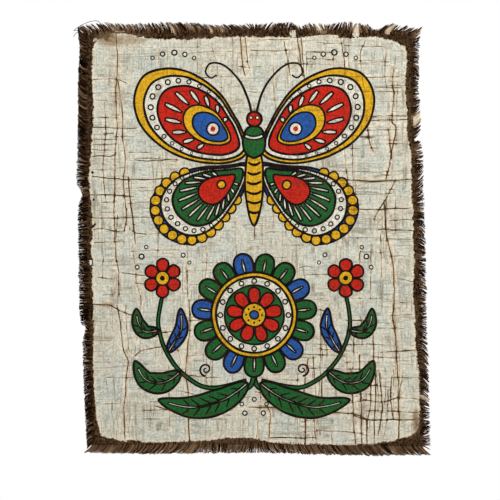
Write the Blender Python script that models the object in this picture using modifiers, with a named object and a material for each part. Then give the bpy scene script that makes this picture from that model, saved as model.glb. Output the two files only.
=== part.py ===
"""Batik wall hanging: one hung cotton panel and the four frayed edges round it.

Units are metres, +Z is up, +X is the viewer's right and the dyed face looks along -Y.
The origin is the middle of the top edge, where the hanging is held.
The cloth is drawn flat on the XZ plane first. Every point then moves along Y by the same
fold function, so that the panel and its frayed edges lie on one surface.
"""
import math
import random
from collections import namedtuple

import bmesh
import bpy
from mathutils import Vector

MM = 0.001

# Outline of the woven cloth at the roots of its loose threads, seen from the front (X, Z)
TOP_LEFT = Vector((-214.2, -4.8)) * MM
TOP_RIGHT = Vector((214.2, -6.1)) * MM
BOTTOM_RIGHT = Vector((225.2, -539.8)) * MM
BOTTOM_LEFT = Vector((-203.8, -538.5)) * MM

CLOTH_THICKNESS = 1.5 * MM
STRIP_WIDTH = 3.0 * MM      # the last woven threads, which hold the roots of the locks
PARTING = 0.6 * MM          # between that strip and the panel
CORNER_PARTING = 0.45 * MM  # from a strip's end to the mitre line at a corner
PANEL_COLUMNS = 26
PANEL_ROWS = 32

LOCK_PITCH = 7.2 * MM
LOCK_GAP = 1.1 * MM         # open between the roots of two locks
REACH_SPREAD = 0.12         # random share of a lock's reach
LEAN_SPREAD = 0.5 * MM
LIFT_SPREAD = 1.0 * MM      # how far a tip stands towards or away from the viewer
SEED = 11

# A lock narrows ring by ring. out and lean: shares of its reach and lean;
# width and thickness: against the ring before it.
Ring = namedtuple("Ring", "out lean width thickness")

LOCK_RINGS = [
    Ring(0.5, 0.34, 0.84, 0.85),
    Ring(1.0, 1.0, 0.40, 0.5),
]

Lock = namedtuple("Lock", "root reach lean lift")

CLOTH_COLOUR = (0.60, 0.59, 0.50, 1.0)
CLOTH_ROUGHNESS = 0.9
THREAD_COLOUR = (0.045, 0.024, 0.014, 1.0)
THREAD_ROUGHNESS = 0.95

# One row for each stretch of an edge, clockwise round the cloth.
# share: place along the side; wander: how far the edge stands out from the straight side (mm);
# reach: how far the loose threads stand out (mm); lean: degrees towards the end of the side.
EdgeRow = namedtuple("EdgeRow", "share wander reach lean")

TOP_EDGE = [
    EdgeRow(0.00, 0.0, 7.5, -42),
    EdgeRow(0.08, 3.6, 10.0, -36),
    EdgeRow(0.20, 4.8, 8.3, -26),
    EdgeRow(0.32, 5.2, 8.8, -36),
    EdgeRow(0.50, 5.5, 6.6, -42),
    EdgeRow(0.57, 5.5, 7.8, 30),
    EdgeRow(0.69, 5.6, 9.5, -18),
    EdgeRow(0.76, 5.7, 8.0, 22),
    EdgeRow(0.88, 5.3, 7.5, 14),
    EdgeRow(0.95, 3.4, 8.6, 44),
    EdgeRow(1.00, 0.0, 9.0, 44),
]
RIGHT_EDGE = [
    EdgeRow(0.00, 0.0, 8.5, -40),
    EdgeRow(0.04, -0.8, 6.0, 10),
    EdgeRow(0.10, -0.8, 6.2, 26),
    EdgeRow(0.19, -2.3, 7.0, -22),
    EdgeRow(0.28, -2.0, 9.5, -32),
    EdgeRow(0.39, -1.0, 9.0, -30),
    EdgeRow(0.47, 0.0, 8.6, 28),
    EdgeRow(0.62, 0.3, 8.4, 18),
    EdgeRow(0.80, 0.4, 8.8, 38),
    EdgeRow(0.93, 0.3, 9.4, 12),
    EdgeRow(1.00, 0.0, 9.0, 38),
]
BOTTOM_EDGE = [
    EdgeRow(0.00, 0.0, 10.5, -42),
    EdgeRow(0.15, 0.4, 12.2, -42),
    EdgeRow(0.32, 0.2, 11.6, -32),
    EdgeRow(0.44, -0.4, 10.6, -14),
    EdgeRow(0.54, -1.0, 11.0, 10),
    EdgeRow(0.68, -1.0, 11.4, 38),
    EdgeRow(0.85, 0.0, 11.2, 38),
    EdgeRow(1.00, 0.0, 9.5, 42),
]
LEFT_EDGE = [
    EdgeRow(0.00, 0.0, 6.0, -40),
    EdgeRow(0.08, 0.0, 8.2, -32),
    EdgeRow(0.19, 0.0, 9.2, -8),
    EdgeRow(0.27, 0.6, 8.0, 12),
    EdgeRow(0.32, 1.3, 11.0, -4),
    EdgeRow(0.48, 1.3, 10.6, 0),
    EdgeRow(0.61, 1.3, 8.8, -18),
    EdgeRow(0.66, 1.3, 11.0, 0),
    EdgeRow(0.76, 0.8, 8.6, 34),
    EdgeRow(0.86, 0.0, 9.0, 38),
    EdgeRow(0.95, -1.2, 6.0, 36),
    EdgeRow(1.00, 0.0, 6.5, 44),
]

Side = namedtuple("Side", "name start end rows")

SIDES = [
    Side("fringe_top", TOP_LEFT, TOP_RIGHT, TOP_EDGE),
    Side("fringe_right", TOP_RIGHT, BOTTOM_RIGHT, RIGHT_EDGE),
    Side("fringe_bottom", BOTTOM_RIGHT, BOTTOM_LEFT, BOTTOM_EDGE),
    Side("fringe_left", BOTTOM_LEFT, TOP_LEFT, LEFT_EDGE),
]

# One row for each soft fold of the hung cloth, in mm. It is highest at its first end, on the
# cloth's edge, and dies out at its second. height: towards the viewer if above zero.
Fold = namedtuple("Fold", "x_edge z_edge x_inner z_inner half_width height")

FOLDS = [
    Fold(-208, -352, -120, -376, 24, 1.8),
    Fold(-126, -540, -92, -385, 27, 3.2),
    Fold(38, -541, 18, -365, 31, -2.8),
    Fold(158, -540, 176, -330, 25, 3.0),
    Fold(-62, 0, -40, -150, 29, 2.2),
    Fold(96, 0, 121, -145, 26, -2.0),
    Fold(217, -112, 150, -122, 22, -1.8),
    Fold(219, -236, 160, -243, 24, 1.6),
    Fold(224, -345, 165, -338, 23, -1.7),
    Fold(226, -540, 190, -480, 40, 3.4),
    Fold(-215, -5, -180, -60, 38, 2.4),
]

# One row for each slow swell across the whole cloth: lengths and height in mm, turns of phase
Swell = namedtuple("Swell", "length_x length_z height phase")

SWELLS = [
    Swell(310, 900, 1.3, 0.10),
    Swell(173, 460, 0.6, 0.55),
]


def smooth(t):
    t = min(max(t, 0.0), 1.0)
    return t * t * (3.0 - 2.0 * t)


def along(rows, share, column):
    """Value of a table's column at a share of the side, on a smooth curve through its rows."""
    last = len(rows) - 1
    index = 0
    while index < last - 1 and share > rows[index + 1].share:
        index += 1
    places = [rows[max(index - 1, 0)], rows[index], rows[index + 1], rows[min(index + 2, last)]]
    shares = [row.share for row in places]
    values = [getattr(row, column) for row in places]
    span = shares[2] - shares[1]
    start_slope = (values[2] - values[0]) / (shares[2] - shares[0]) * span
    end_slope = (values[3] - values[1]) / (shares[3] - shares[1]) * span
    t = (share - shares[1]) / span
    rise = smooth(t)
    bend = t * (1.0 - t)
    return (values[1] * (1.0 - rise) + values[2] * rise
            + bend * (start_slope * (1.0 - t) - end_slope * t))


def fold_height(x, z):
    """How far the cloth stands towards the viewer at a place on it."""
    height = 0.0
    for swell in SWELLS:
        turn = x / (swell.length_x * MM) + z / (swell.length_z * MM) + swell.phase
        height += swell.height * MM * math.sin(math.tau * turn)
    for fold in FOLDS:
        edge = Vector((fold.x_edge, fold.z_edge)) * MM
        run = Vector((fold.x_inner, fold.z_inner)) * MM - edge
        offset = Vector((x, z)) - edge
        t = min(max(offset.dot(run) / run.length_squared, 0.0), 1.0)
        spread = (offset - run * t).length / (fold.half_width * MM)
        if spread < 1.0:
            height += fold.height * MM * math.cos(0.5 * math.pi * spread) ** 2 * (1.0 - smooth(t))
    return height


def side_point(side, run, out):
    """Flat place a run along a side and so far out from the roots of its threads."""
    direction = (side.end - side.start).normalized()
    outward = Vector((-direction.y, direction.x))
    share = run / (side.end - side.start).length
    return side.start + direction * run + outward * (along(side.rows, share, "wander") * MM + out)


def on_cloth(flat, level):
    """Place in space of a flat point, at a level measured away from the viewer."""
    return Vector((flat.x, level - fold_height(flat.x, flat.y), flat.y))


def mitre_run(side, neighbour, depth):
    """Run from a side's corner to the mitre line at a depth inside the edge."""
    first = (side.end - side.start).normalized()
    second = (neighbour.end - neighbour.start).normalized()
    inner_angle = math.pi - first.angle(second)
    return depth / math.tan(0.5 * inner_angle)


def side_range(index, depth):
    """First and last run along a side at a depth inside the edge."""
    side = SIDES[index]
    before = SIDES[index - 1]
    after = SIDES[(index + 1) % len(SIDES)]
    length = (side.end - side.start).length
    return mitre_run(side, before, depth), length - mitre_run(side, after, depth)


def make_material(name, colour, roughness):
    material = bpy.data.materials.new(name)
    material.use_nodes = True
    shader = material.node_tree.nodes["Principled BSDF"]
    shader.inputs["Base Color"].default_value = colour
    shader.inputs["Roughness"].default_value = roughness
    shader.inputs["Metallic"].default_value = 0.0
    return material


def add_part(name, bm, material, collection):
    mesh = bpy.data.meshes.new(name)
    bm.to_mesh(mesh)
    bm.free()
    part = bpy.data.objects.new(name, mesh)
    part.data.materials.append(material)
    collection.objects.link(part)
    return part


def panel_edge(index, inset):
    """Function that walks one inset edge of the panel from share 0 to 1."""
    side = SIDES[index]
    first, last = side_range(index, inset)

    def walk(share):
        return side_point(side, first + (last - first) * share, -inset)

    return walk


def build_panel(collection):
    """The woven panel: a grid stretched between its four edges and laid on the folds."""
    inset = STRIP_WIDTH + PARTING
    top, right, bottom, left = [panel_edge(index, inset) for index in range(len(SIDES))]
    corners = {
        (0, 0): (top(0) + left(1)) / 2,
        (1, 0): (top(1) + right(0)) / 2,
        (1, 1): (right(1) + bottom(0)) / 2,
        (0, 1): (bottom(1) + left(0)) / 2,
    }

    def pinned(point, share, start_error, end_error):
        return point - start_error * (1 - share) - end_error * share

    def flat_place(s, t):
        upper = pinned(top(s), s, top(0) - corners[0, 0], top(1) - corners[1, 0])
        lower = pinned(bottom(1 - s), s, bottom(1) - corners[0, 1], bottom(0) - corners[1, 1])
        west = pinned(left(1 - t), t, left(1) - corners[0, 0], left(0) - corners[0, 1])
        east = pinned(right(t), t, right(0) - corners[1, 0], right(1) - corners[1, 1])
        across = west * (1 - s) + east * s
        down = upper * (1 - t) + lower * t
        shared = (corners[0, 0] * (1 - s) + corners[1, 0] * s) * (1 - t)
        shared += (corners[0, 1] * (1 - s) + corners[1, 1] * s) * t
        return across + down - shared

    bm = bmesh.new()
    bmesh.ops.create_grid(bm, x_segments=PANEL_COLUMNS, y_segments=PANEL_ROWS, size=0.5)
    for vert in bm.verts:
        flat = flat_place(vert.co.x + 0.5, 0.5 - vert.co.y)
        vert.co = on_cloth(flat, 0.0)
    bmesh.ops.recalc_face_normals(bm, faces=bm.faces)
    material = make_material("batik_cotton", CLOTH_COLOUR, CLOTH_ROUGHNESS)
    panel = add_part("cloth", bm, material, collection)
    thickness = panel.modifiers.new("Thickness", "SOLIDIFY")
    thickness.thickness = CLOTH_THICKNESS
    thickness.offset = 0.0


def comb_sheet(locks):
    """A plate one cell wide and one thick: X counts its cells, Y is 1 on the outer side."""
    bm = bmesh.new()
    cells = 2 * locks + 1
    bmesh.ops.create_grid(bm, x_segments=cells, y_segments=1, size=0.5)
    for vert in bm.verts:
        vert.co.x = round((vert.co.x + 0.5) * cells)
        vert.co.y = round(vert.co.y + 0.5)
    plate = bmesh.ops.extrude_face_region(bm, geom=list(bm.faces))
    raised = [item for item in plate["geom"] if isinstance(item, bmesh.types.BMVert)]
    bmesh.ops.translate(bm, verts=raised, vec=(0.0, 0.0, 1.0))
    return bm


def lock_faces(bm):
    """Every second outer face of the plate, where a lock grows."""
    found = []
    for face in bm.faces:
        centre = face.calc_center_median()
        if centre.y > 0.99 and int(centre.x) % 2 == 1:
            found.append(face)
    return found


def along_side(face):
    return face.calc_center_median().x


def grow(bm, faces):
    """Extrude each face on its own and give the new end faces in their order along the side."""
    grown = bmesh.ops.extrude_discrete_faces(bm, faces=faces)["faces"]
    return sorted(grown, key=along_side)


def move_end(face, centre, width, thickness):
    """Take a lock's end face to a new centre and narrow it there."""
    old = face.calc_center_median()
    for vert in face.verts:
        offset = vert.co - old
        vert.co = centre + Vector((offset.x * width, 0.0, offset.z * thickness))


def plan_locks(side, roots, dice):
    """Reach, lean and lift of each lock, from its side's table and a little chance."""
    length = (side.end - side.start).length
    plan = []
    for root in roots:
        reach = along(side.rows, root / length, "reach") * MM
        lean = reach * math.tan(math.radians(along(side.rows, root / length, "lean")))
        plan.append(Lock(
            root,
            reach * (1.0 + REACH_SPREAD * dice.uniform(-1.0, 1.0)),
            lean + LEAN_SPREAD * dice.uniform(-1.0, 1.0),
            LIFT_SPREAD * dice.uniform(-1.0, 1.0),
        ))
    return plan


def build_fringe(index, collection, dice):
    """A frayed edge: a narrow woven strip with locks of loose threads along it.

    It is made flat, with X the run along the side, Y the way out and Z the level,
    and then bent to the side and laid on the folds.
    """
    side = SIDES[index]
    length = (side.end - side.start).length
    inner_first, inner_last = side_range(index, STRIP_WIDTH)
    outer_run = length - 2 * CORNER_PARTING
    inner_run = inner_last - inner_first - 2 * CORNER_PARTING
    locks = round(outer_run / LOCK_PITCH)
    pitch = (outer_run - LOCK_GAP) / locks

    bm = comb_sheet(locks)
    ends = lock_faces(bm)
    for vert in bm.verts:
        cell = round(vert.co.x)
        share = (cell // 2 * pitch + cell % 2 * LOCK_GAP) / outer_run
        level = (vert.co.z - 0.5) * CLOTH_THICKNESS
        if vert.co.y > 0.5:
            vert.co = Vector((CORNER_PARTING + outer_run * share, 0.0, level))
        else:
            run = inner_first + CORNER_PARTING + inner_run * share
            vert.co = Vector((run, -STRIP_WIDTH, level))

    roots = sorted(along_side(face) for face in ends)
    plan = plan_locks(side, roots, dice)
    for ring in LOCK_RINGS:
        ends = grow(bm, ends)
        for face, lock in zip(ends, plan):
            centre = Vector((
                lock.root + lock.lean * ring.lean,
                lock.reach * ring.out,
                lock.lift * ring.out ** 2,
            ))
            move_end(face, centre, ring.width, ring.thickness)

    for vert in bm.verts:
        vert.co = on_cloth(side_point(side, vert.co.x, vert.co.y), vert.co.z)
    bmesh.ops.recalc_face_normals(bm, faces=bm.faces)
    material = make_material(side.name + "_threads", THREAD_COLOUR, THREAD_ROUGHNESS)
    add_part(side.name, bm, material, collection)


def main():
    for old in list(bpy.data.objects):
        bpy.data.objects.remove(old)
    collection = bpy.data.collections.new("batik_wall_hanging")
    bpy.context.scene.collection.children.link(collection)
    dice = random.Random(SEED)
    build_panel(collection)
    for index in range(len(SIDES)):
        build_fringe(index, collection, dice)


main()
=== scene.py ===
import math
import random
from collections import namedtuple
from functools import reduce

import bmesh
import bpy
import numpy as np
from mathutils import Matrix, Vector, noise
from mathutils.geometry import delaunay_2d_cdt
from mathutils.kdtree import KDTree


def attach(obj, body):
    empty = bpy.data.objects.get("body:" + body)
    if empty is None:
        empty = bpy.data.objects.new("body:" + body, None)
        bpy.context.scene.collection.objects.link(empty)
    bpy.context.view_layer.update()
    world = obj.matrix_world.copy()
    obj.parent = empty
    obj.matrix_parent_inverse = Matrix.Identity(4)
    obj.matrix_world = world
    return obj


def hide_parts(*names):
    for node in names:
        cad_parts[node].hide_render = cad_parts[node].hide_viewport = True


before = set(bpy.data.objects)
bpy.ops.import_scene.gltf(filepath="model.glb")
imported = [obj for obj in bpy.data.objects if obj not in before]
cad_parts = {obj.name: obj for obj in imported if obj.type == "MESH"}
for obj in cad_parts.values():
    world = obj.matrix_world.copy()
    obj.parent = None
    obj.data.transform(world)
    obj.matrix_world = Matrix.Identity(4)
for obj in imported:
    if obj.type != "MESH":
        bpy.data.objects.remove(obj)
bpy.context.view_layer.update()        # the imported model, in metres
mm = 0.001

# Studio: the hanging is seen square on, against white, in soft even light
studio = {
    "lens": 100.0,
    "sensor": 36.0,
    "viewWidth": 0.650,        # metres across the picture, at the cloth
    "viewMiddle": (0.0016, -0.2856),
    "floorLevel": -0.95,       # well under the hanging, out of the main picture
    "floorFront": -1.6,
    "floorBack": 1.3,
    "floorHalfWidth": 1.6,
    "floorTone": (0.80, 0.79, 0.77, 1.0),
    "backdropTone": (1.0, 1.0, 1.0, 1.0),
    "skyTone": (1.0, 0.995, 0.985, 1.0),
    "skyLight": 0.64,
    "keyPower": 17.0,
    "keySize": 1.1,
    "keyPlace": (0.42, -1.30, 0.75),
}


def aimAt(thing, place, target):
    thing.location = place
    thing.rotation_euler = (Vector(target) - Vector(place)).to_track_quat("-Z", "Y").to_euler()


def newObject(name, data):
    made = bpy.data.objects.new(name, data)
    bpy.context.scene.collection.objects.link(made)
    return made


def makeStudio(s):
    scene = bpy.context.scene
    scene.view_settings.view_transform = "Standard"
    middle = Vector((s["viewMiddle"][0], 0.0, s["viewMiddle"][1]))

    cameraData = bpy.data.cameras.new("studioCamera")
    cameraData.lens = s["lens"]
    cameraData.sensor_width = s["sensor"]
    camera = newObject("studioCamera", cameraData)
    distance = s["viewWidth"] * s["lens"] / s["sensor"]
    aimAt(camera, middle + Vector((0.0, -distance, 0.0)), middle)
    scene.camera = camera

    world = bpy.data.worlds.new("studioWorld")
    scene.world = world
    world.use_nodes = True
    nodes, links = world.node_tree.nodes, world.node_tree.links
    nodes.clear()
    out = nodes.new("ShaderNodeOutputWorld")
    mix = nodes.new("ShaderNodeMixShader")
    ray = nodes.new("ShaderNodeLightPath")
    sky = nodes.new("ShaderNodeBackground")
    backdrop = nodes.new("ShaderNodeBackground")
    sky.inputs["Color"].default_value = s["skyTone"]
    sky.inputs["Strength"].default_value = s["skyLight"]
    backdrop.inputs["Color"].default_value = s["backdropTone"]
    links.new(ray.outputs["Is Camera Ray"], mix.inputs["Fac"])
    links.new(sky.outputs[0], mix.inputs[1])
    links.new(backdrop.outputs[0], mix.inputs[2])
    links.new(mix.outputs[0], out.inputs["Surface"])

    keyData = bpy.data.lights.new("keyLight", "AREA")
    keyData.energy = s["keyPower"]
    keyData.size = s["keySize"]
    aimAt(newObject("keyLight", keyData), s["keyPlace"], middle)

    floorMesh = bpy.data.meshes.new("floor")
    w, front, back, level = s["floorHalfWidth"], s["floorFront"], s["floorBack"], s["floorLevel"]
    corners = [(-w, front, level), (w, front, level), (w, back, level), (-w, back, level)]
    floorMesh.from_pydata(corners, [], [(0, 1, 2, 3)])
    floorPaint = bpy.data.materials.new("floorPaint")
    floorPaint.use_nodes = True
    shader = floorPaint.node_tree.nodes["Principled BSDF"]
    shader.inputs["Base Color"].default_value = s["floorTone"]
    shader.inputs["Roughness"].default_value = 0.8
    floorMesh.materials.append(floorPaint)
    newObject("floor", floorMesh)


makeStudio(studio)
print("studio ready")


# The flat cloth. Its outline, wander, folds and swells are the part's own, in mm.
# share: place along a side; wander: how far the edge stands out from the straight side;
# reach: length of the loose threads; lean: degrees towards the end of the side;
# band: width of the dark dyed border there
EdgeRow = namedtuple("EdgeRow", "share wander")
FrayRow = namedtuple("FrayRow", "share reach lean")
BandRow = namedtuple("BandRow", "share band")
Fold = namedtuple("Fold", "xEdge zEdge xInner zInner halfWidth height")
Swell = namedtuple("Swell", "lengthX lengthZ height phase")

cloth = {
    "topLeft": Vector((-214.2, -4.8)),
    "topRight": Vector((214.2, -6.1)),
    "bottomRight": Vector((225.2, -539.8)),
    "bottomLeft": Vector((-203.8, -538.5)),
    "thickness": 1.0,
    "gridStep": 4.9,
    "edgeStep": 2.4,
    "rag": 0.35,               # how ragged the last woven thread is
    "pucker": 0.42,            # height of the small soft puckers
    "puckerLength": 26.0,
    "rumple": 0.13,
    "rumpleLength": 8.0,
    "bandBlend": 9.0,          # how round the bare cloth's corners are
    "creaseHeight": 0.34,      # of the sharp creases that the wax cracked along
    "swells": [Swell(310, 900, 1.3, 0.10), Swell(173, 460, 0.6, 0.55)],
    "folds": [
        Fold(-208, -352, -120, -376, 24, 1.8),
        Fold(-126, -540, -92, -385, 27, 3.2),
        Fold(38, -541, 18, -365, 31, -2.8),
        Fold(158, -540, 176, -330, 25, 3.0),
        Fold(-62, 0, -40, -150, 29, 2.2),
        Fold(96, 0, 121, -145, 26, -2.0),
        Fold(217, -112, 150, -122, 22, -1.8),
        Fold(219, -236, 160, -243, 24, 1.6),
        Fold(224, -345, 165, -338, 23, -1.7),
        Fold(226, -540, 190, -480, 40, 3.4),
        Fold(-215, -5, -180, -60, 38, 2.4),
    ],
}

Side = namedtuple("Side", "name start end edge fray bands")


def rowsOf(kind, *numbers):
    # equal groups of numbers, one row of the table for each
    size = len(kind._fields)
    return [kind(*numbers[i:i + size]) for i in range(0, len(numbers), size)]


sides = [
    Side("fringe_top", cloth["topLeft"], cloth["topRight"],
         rowsOf(EdgeRow,
                0, 0, .08, 3.6, .20, 4.8, .32, 5.2, .50, 5.5, .57, 5.5, .69, 5.6, .76, 5.7, .88, 5.3,
                .95, 3.4, 1, 0),
         rowsOf(FrayRow,
                0, 8.0, -46, .05, 10.4, -40, .10, 9.6, -38, .15, 8.4, -30, .20, 8.6, -24, .26, 9.2, -34,
                .32, 9.0, -38, .39, 7.2, -42, .45, 6.6, -36, .50, 6.8, -52, .53, 7.6, 16, .57, 8.6, 36,
                .62, 9.4, 4, .65, 8.6, -30, .665, 4.4, -24, .69, 8.8, -20, .72, 8.0, -34, .75, 8.6, 34,
                .79, 9.8, 6, .82, 8.6, 16, .86, 7.4, -20, .90, 8.6, 36, .95, 8.8, 48, 1, 9.4, 48),
         rowsOf(BandRow,
                0, 15, .030, 13, .05, 7.5, .075, 3.2, .115, 2.6, .146, 6, .176, 8.3, .237, 11.2, .358, 11.2,
                .42, 8.7, .60, 8.7, .66, 9.4, .722, 6.4, .783, 10, .844, 8.7, .904, 8.6, .965, 14, 1, 15)),
    Side("fringe_right", cloth["topRight"], cloth["bottomRight"],
         rowsOf(EdgeRow,
                0, 0, .04, -.8, .10, -.8, .19, -2.3, .28, -2, .39, -1, .47, 0, .62, .3, .80, .4, .93, .3,
                1, 0),
         rowsOf(FrayRow,
                0, 9, -44, .04, 7.0, 6, .08, 6.6, 30, .13, 6.2, 4, .19, 8.4, -34, .245, 8.2, -36,
                .256, 3.4, -30, .27, 8.8, -20, .30, 10.2, -12, .35, 9.8, -36, .39, 9.4, -34, .43, 9.2, 12,
                .48, 9.0, 38, .53, 8.8, 4, .60, 8.8, 26, .69, 8.6, 0, .75, 9.0, 36, .86, 9.2, 38,
                .93, 9.6, 4, .97, 9.4, -26, 1, 10, 20),
         rowsOf(BandRow,
                0, 14, .046, 8.2, .095, 10, .144, 10.4, .193, 7.8, .241, 8.4, .29, 5.0, .339, 5.1,
                .388, 5.5, .437, 5.4, .485, 6.3, .534, 5.6, .583, 6.3, .632, 8.1, .68, 6, .729, 6.7,
                .778, 4.8, .827, 2.0, .89, 2.6, .935, 3.2, .965, 7, .985, 12, 1, 14)),
    Side("fringe_bottom", cloth["bottomRight"], cloth["bottomLeft"],
         rowsOf(EdgeRow,
                0, 0, .15, .4, .32, .2, .44, -.4, .54, -1, .68, -1, .85, 0, 1, 0),
         rowsOf(FrayRow,
                0, 11, -44, .08, 11.8, -46, .16, 12.2, -42, .26, 12, -38, .35, 11.6, -32, .40, 11.2, -20,
                .47, 10.8, -30, .53, 10.8, 26, .58, 11, 10, .63, 11.2, 2, .68, 11.6, 38, .80, 11.4, 42,
                .92, 11, 40, 1, 10, 44),
         rowsOf(BandRow,
                0, 15, .03, 13, .067, 9.5, .097, 6.2, .158, 2.2, .218, 0.7, .30, 0.9, .40, 1.0, .461, 3.4,
                .521, 8.4, .582, 8.6, .642, 4.6, .703, 4.2, .764, 3.4, .824, 3.4, .85, 4.2, .879, 6.5,
                .905, 4.8, .948, 8.4, 1, 10)),
    Side("fringe_left", cloth["bottomLeft"], cloth["topLeft"],
         rowsOf(EdgeRow,
                0, 0, .08, 0, .19, 0, .27, .6, .32, 1.3, .48, 1.3, .61, 1.3, .66, 1.3, .76, .8, .86, 0,
                .95, -1.2, 1, 0),
         rowsOf(FrayRow,
                0, 6.5, -40, .05, 7.4, -34, .12, 8.6, -26, .18, 9.4, -10, .25, 8.6, 14, .275, 5.6, 8,
                .30, 10.4, 2, .36, 11.2, 0, .48, 10.8, 0, .56, 10.8, -10, .595, 9.2, -26, .612, 5.6, -24,
                .64, 11, -8, .68, 11, 12, .72, 9.8, 32, .80, 9, 40, .90, 8.4, 42, .96, 6.6, 38, 1, 7.5, 46),
         rowsOf(BandRow,
                0, 13, .04, 9, .074, 6.2, .172, 3.4, .22, 3.8, .269, 5.7, .318, 7, .367, 6.4, .415, 5.8,
                .445, 6.4, .475, 4.2, .513, 7.3, .562, 7.2, .61, 5.1, .659, 4.5, .708, 7.7, .756, 9.2,
                .805, 11.2, .854, 10.1, .903, 9.5, .951, 10, 1, 14)),
]


def smooth(t):
    t = np.clip(t, 0.0, 1.0)
    return t * t * (3.0 - 2.0 * t)


def along(rows, share, column):
    # value of a table's column at a share of the side, on a smooth curve through its rows
    last = len(rows) - 1
    index = 0
    while index < last - 1 and share > rows[index + 1].share:
        index += 1
    places = [rows[max(index - 1, 0)], rows[index], rows[index + 1], rows[min(index + 2, last)]]
    shares = [row.share for row in places]
    values = [getattr(row, column) for row in places]
    span = shares[2] - shares[1]
    startSlope = (values[2] - values[0]) / (shares[2] - shares[0]) * span
    endSlope = (values[3] - values[1]) / (shares[3] - shares[1]) * span
    t = (share - shares[1]) / span
    rise = float(smooth(t))
    bend = t * (1.0 - t)
    return (values[1] * (1.0 - rise) + values[2] * rise
            + bend * (startSlope * (1.0 - t) - endSlope * t))


shareSteps = np.linspace(0.0, 1.0, 801)


def sampled(rows, column):
    return np.array([along(rows, share, column) for share in shareSteps])


wanderOf = [sampled(side.edge, "wander") for side in sides]
bandOf = [sampled(side.bands, "band") for side in sides]


def sideFrame(side):
    direction = (side.end - side.start).normalized()
    return direction, Vector((-direction.y, direction.x)), (side.end - side.start).length


def sidePoint(index, run, out):
    side = sides[index]
    direction, outward, length = sideFrame(side)
    wander = float(np.interp(run / length, shareSteps, wanderOf[index]))
    return side.start + direction * run + outward * (wander + out)


def insideDepths(x, z):
    # depth inside each of the four sides, and the place along it
    found = []
    for index, side in enumerate(sides):
        direction, outward, length = sideFrame(side)
        dx, dz = x - side.start.x, z - side.start.y
        share = np.clip((dx * direction.x + dz * direction.y) / length, 0.0, 1.0)
        wander = np.interp(share, shareSteps, wanderOf[index])
        found.append((wander - (dx * outward.x + dz * outward.y), share))
    return found


def softLowest(values, blend):
    # smallest of several fields, rounded where two of them meet
    low = values[0]
    for value in values[1:]:
        h = np.clip(0.5 + 0.5 * (value - low) / blend, 0.0, 1.0)
        low = value * (1 - h) + low * h - blend * h * (1 - h)
    return low


def noiseAt(x, z, length, seed):
    return np.array([noise.noise((a / length, seed * 7.3, b / length)) for a, b in zip(x, z)])


def foldHeight(x, z):
    # how far the hung cloth stands towards the viewer, in mm, as in the part
    height = np.zeros_like(x)
    for swell in cloth["swells"]:
        height += swell.height * np.sin(math.tau * (x / swell.lengthX + z / swell.lengthZ + swell.phase))
    for fold in cloth["folds"]:
        runX, runZ = fold.xInner - fold.xEdge, fold.zInner - fold.zEdge
        dx, dz = x - fold.xEdge, z - fold.zEdge
        t = np.clip((dx * runX + dz * runZ) / (runX ** 2 + runZ ** 2), 0.0, 1.0)
        spread = np.hypot(dx - runX * t, dz - runZ * t) / fold.halfWidth
        shape = np.cos(0.5 * math.pi * np.minimum(spread, 1.0)) ** 2
        height += fold.height * shape * (1.0 - smooth(t))
    return height


# Crackle: the lines where the wax broke and the brown dye went in. Places in mm on the cloth.
# strength: how dark; halo: how much pale tan lies beside it
Crack = namedtuple("Crack", "strength halo points")


def cracksOf(*rows):
    # each row: strength, halo, then x, z, x, z and so on along the crack
    return [Crack(row[0], row[1], list(zip(row[2::2], row[3::2]))) for row in rows]


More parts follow.
